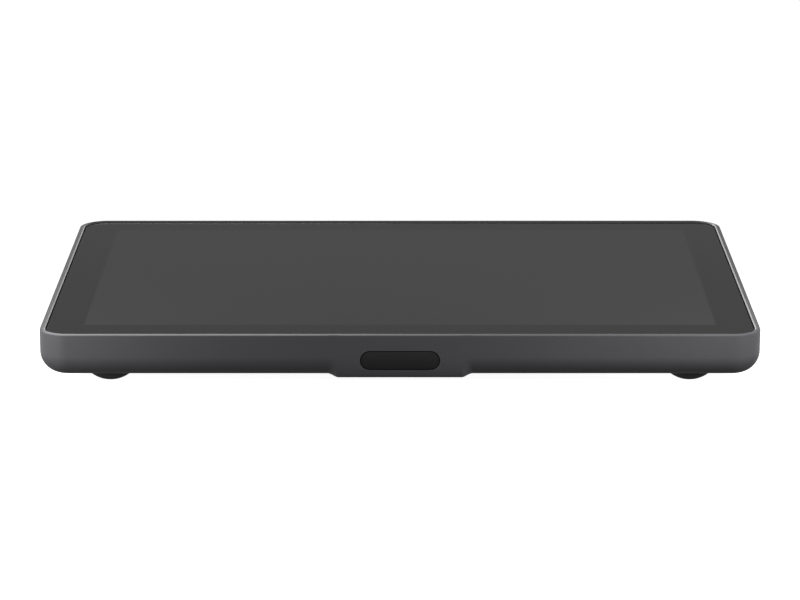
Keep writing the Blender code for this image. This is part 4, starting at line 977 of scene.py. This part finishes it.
def cable_clamp():
    """Bridge over the cables, on two feet, with grip ribs inside its arch."""
    low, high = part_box("cable_clamp")
    clamp = bar("cable_bridge", low, (high.x, high.y, low.z + CLAMP_FOOT))
    arch = bar("arch", (-12.8 * MM, low.y, low.z), (12.8 * MM, high.y, high.z))
    with Shaping(arch) as shape:
        shape.faces(lambda c, n: n.z > 0.9)
        bpy.ops.transform.resize(value=(11.8 / 12.8, 1, 1))
        shape.edges(at_level(Z, high.z))
        shape.bevel(0.8 * MM, 4)
    combine(clamp, arch, "UNION")
    room = bar("cable_room", (-11 * MM, low.y - MM, low.z - MM), (11 * MM, high.y + MM, high.z - 1.8 * MM))
    with Shaping(room) as shape:
        shape.faces(lambda c, n: n.z > 0.9)
        bpy.ops.transform.resize(value=(10 / 11, 1, 1))
        shape.edges(lambda a, b: a.z > low.z and b.z > low.z and abs(a.x - b.x) < NEAR)
        shape.bevel(1.2 * MM, 5)
    combine(clamp, room)
    drill(clamp, "clamp_hole", screw_rows("clamp_screw", 2), low.z + MM, 6 * MM)
    rounded_edges(clamp, SOFT_EDGE, 2, 50)
    for i in (-1, 0, 1):
        y = (low.y + high.y) / 2 + i * 2 * MM
        rib = bar("grip_rib", (-9 * MM, y - 0.35 * MM, high.z - 2.4 * MM),
                  (9 * MM, y + 0.35 * MM, high.z - 1.2 * MM))
        with Shaping(rib) as shape:
            shape.edges(lambda a, b: max(a.z, b.z) < high.z - 2 * MM and abs(a.y - b.y) < NEAR)
            shape.bevel(SOFT_EDGE, 3)
        combine(clamp, rib, "UNION")
    complete(clamp, BLACK_PLASTIC, "controller", ["cable_clamp"])


def visible_screw(name, upwards):
    """Machine screw, drawn from its tip: a ridged shank, and a softened pan head with a hexagon socket."""
    low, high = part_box(name)
    place = (low + high) / 2
    seat = high.z - SCREW_HEAD if upwards else low.z + SCREW_HEAD
    out = 1 if upwards else -1
    tip = low.z if upwards else high.z
    length = abs(seat - tip)
    piece = rod(name.replace("screw", "bolt"), (place.x, place.y, tip + out * SCREW_TIP / 2), SHANK_RADIUS,
                SCREW_TIP, sides=24)
    turns = int((length - 1.4 * MM) / THREAD_PITCH)
    with Shaping(piece) as shape:
        shape.faces(lambda c, n: n.z * out < -0.9)
        bpy.ops.transform.resize(value=(0.6, 0.6, 1))
        shape.faces(lambda c, n: n.z * out > 0.9)
        for _ in range(turns):
            for narrower in (THREAD_ROOT, 1 / THREAD_ROOT):
                shape.extrude(z=out * THREAD_PITCH / 2)
                bpy.ops.transform.resize(value=(narrower, narrower, 1))
        shape.extrude(z=out * (length - SCREW_TIP - turns * THREAD_PITCH))
        shape.extrude()
        widening = SCREW_HEAD_RADIUS / SHANK_RADIUS
        bpy.ops.transform.resize(value=(widening, widening, 1))
        shape.extrude(z=out * (SCREW_HEAD - sum(lift for _, lift in SCREW_CROWN) * MM))
        for width, lift in SCREW_CROWN:
            shape.inset(width * MM)
            shape.move(z=out * lift * MM)
    top = seat + out * SCREW_HEAD
    combine(piece, rod("hex_socket", (place.x, place.y, top), 0.95 * MM, 1.1 * MM, Z, 6))
    complete(piece, SCREW_STEEL, "controller", [name])


def lock_plate():
    """Steel plate with a softened, round-ended security slot."""
    low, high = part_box("lock_insert")
    middle = (low + high) / 2
    plate = rounded_bar("lock_plate", low, high, 0.7 * MM, X, 5)
    combine(plate, rounded_bar("security_slot", (low.x - MM, middle.y - 3.5 * MM, middle.z - 1.5 * MM),
                               (high.x + MM, middle.y + 3.5 * MM, middle.z + 1.5 * MM), 1.49 * MM, X, 12))
    soften(plate, X, high.x, 0.3 * MM, 4)
    complete(plate, SHEET_STEEL, "controller", ["lock_insert"])


# Camera, floor and light

def look_at(piece, target):
    away = piece.location - Vector(target)
    piece.rotation_mode = "QUATERNION"
    piece.rotation_quaternion = away.to_track_quat("Z", "Y")


def softbox(name, place, target, width, height, power, seen=True):
    """A rectangular studio light; one that isn't seen leaves no bright shape in the gloss."""
    made = bpy.data.lights.new(name, "AREA")
    made.shape = "RECTANGLE"
    made.size = width
    made.size_y = height
    made.energy = power
    lamp = bpy.data.objects.new(name, made)
    bpy.context.scene.collection.objects.link(lamp)
    lamp.location = place
    look_at(lamp, target)
    lamp.visible_camera = False
    lamp.visible_glossy = seen


def studio():
    """A white band at the horizon, higher behind the object and dim above, with four softboxes."""
    world = bpy.data.worlds.new("studio")
    bpy.context.scene.world = world
    world.use_nodes = True
    nodes, links = world.node_tree.nodes, world.node_tree.links

    def maths(operation, *values):
        made = nodes.new("ShaderNodeMath")
        made.operation = operation
        for socket, value in zip(made.inputs, values):
            if isinstance(value, bpy.types.NodeSocket):
                links.new(value, socket)
            else:
                socket.default_value = value
        return made.outputs[0]

    apart = nodes.new("ShaderNodeSeparateXYZ")
    links.new(nodes.new("ShaderNodeTexCoord").outputs["Generated"], apart.inputs[0])
    lift = maths("MULTIPLY_ADD", maths("MAXIMUM", apart.outputs["Y"], 0), -HORIZON_LIFT, 1)
    height = maths("MULTIPLY", apart.outputs["Z"], lift)
    levels = nodes.new("ShaderNodeValToRGB")
    links.new(maths("MULTIPLY_ADD", height, 0.5, 0.5), levels.inputs["Fac"])
    links.new(levels.outputs["Color"], nodes["Background"].inputs["Color"])
    ramp = levels.color_ramp.elements
    while len(ramp) < len(SURROUNDINGS):
        ramp.new(0.5)
    for element, (at_height, level) in zip(ramp, SURROUNDINGS):
        element.position = (at_height + 1) / 2
        element.color = (level, level, level, 1)
    nodes["Background"].inputs["Strength"].default_value = SURROUNDINGS_STRENGTH

    front = HEAD_ORIGIN.y
    softbox("top_box", (-0.3, 0.72, 1.25), (0, 0, 0), 0.6, 0.7, 8.2)
    softbox("side_box", (0.8, -0.25, 0.14), (0.1, -0.05, 0.01), 0.3, 0.2, 1.4, seen=False)
    softbox("left_lamp", (-0.16, front - 0.05, 0.05), (-0.1, front, 0.02), 0.03, 0.12, 0.235, seen=False)
    softbox("right_lamp", (0.14, front - 0.08, 0.08), (0.1, front, 0.02), 0.04, 0.12, 0.33, seen=False)


def floor():
    """A pale table that shows only a faint shadow."""
    bpy.ops.object.select_all(action="DESELECT")
    bpy.ops.mesh.primitive_plane_add(size=120)
    table = named("table")
    finish = Finish("pale_table", Specular_IOR_Level=0.0, Emission_Strength=0.95, Roughness=0.9)
    specks = finish.grain(finish.place(), 60, 2)
    finish.feed(Base_Color=finish.blend(specks, grey(0.78), grey(0.8)),
                Emission_Color=finish.blend(specks, grey(0.99), grey(1.0)))
    table.data.materials.append(finish.material)
    table.visible_diffuse = False
    table.visible_glossy = False


def camera():
    """Low and level in front of the object, with a long lens."""
    made = bpy.data.cameras.new("front")
    made.lens = LENS
    made.clip_end = 200
    seen = bpy.data.objects.new("front", made)
    bpy.context.scene.collection.objects.link(seen)
    seen.location = (0, -CAMERA_DISTANCE, CAMERA_HEIGHT)
    seen.rotation_euler = (math.radians(90 - CAMERA_PITCH), 0, 0)
    bpy.context.scene.camera = seen


camera()
studio()
floor()
housing()
cover_glass()
sensor_window()
front_feet()
base_shell()
base_floor()
base_pad()
cable_cover()
ethernet_jack()
usb_c_port()
reset_button()
cable_clamp()
for number in range(1, 5):
    visible_screw(f"floor_screw_{number}", upwards=False)
for number in range(1, 3):
    visible_screw(f"clamp_screw_{number}", upwards=True)
lock_plate()
bpy.context.scene.view_settings.view_transform = "Standard"
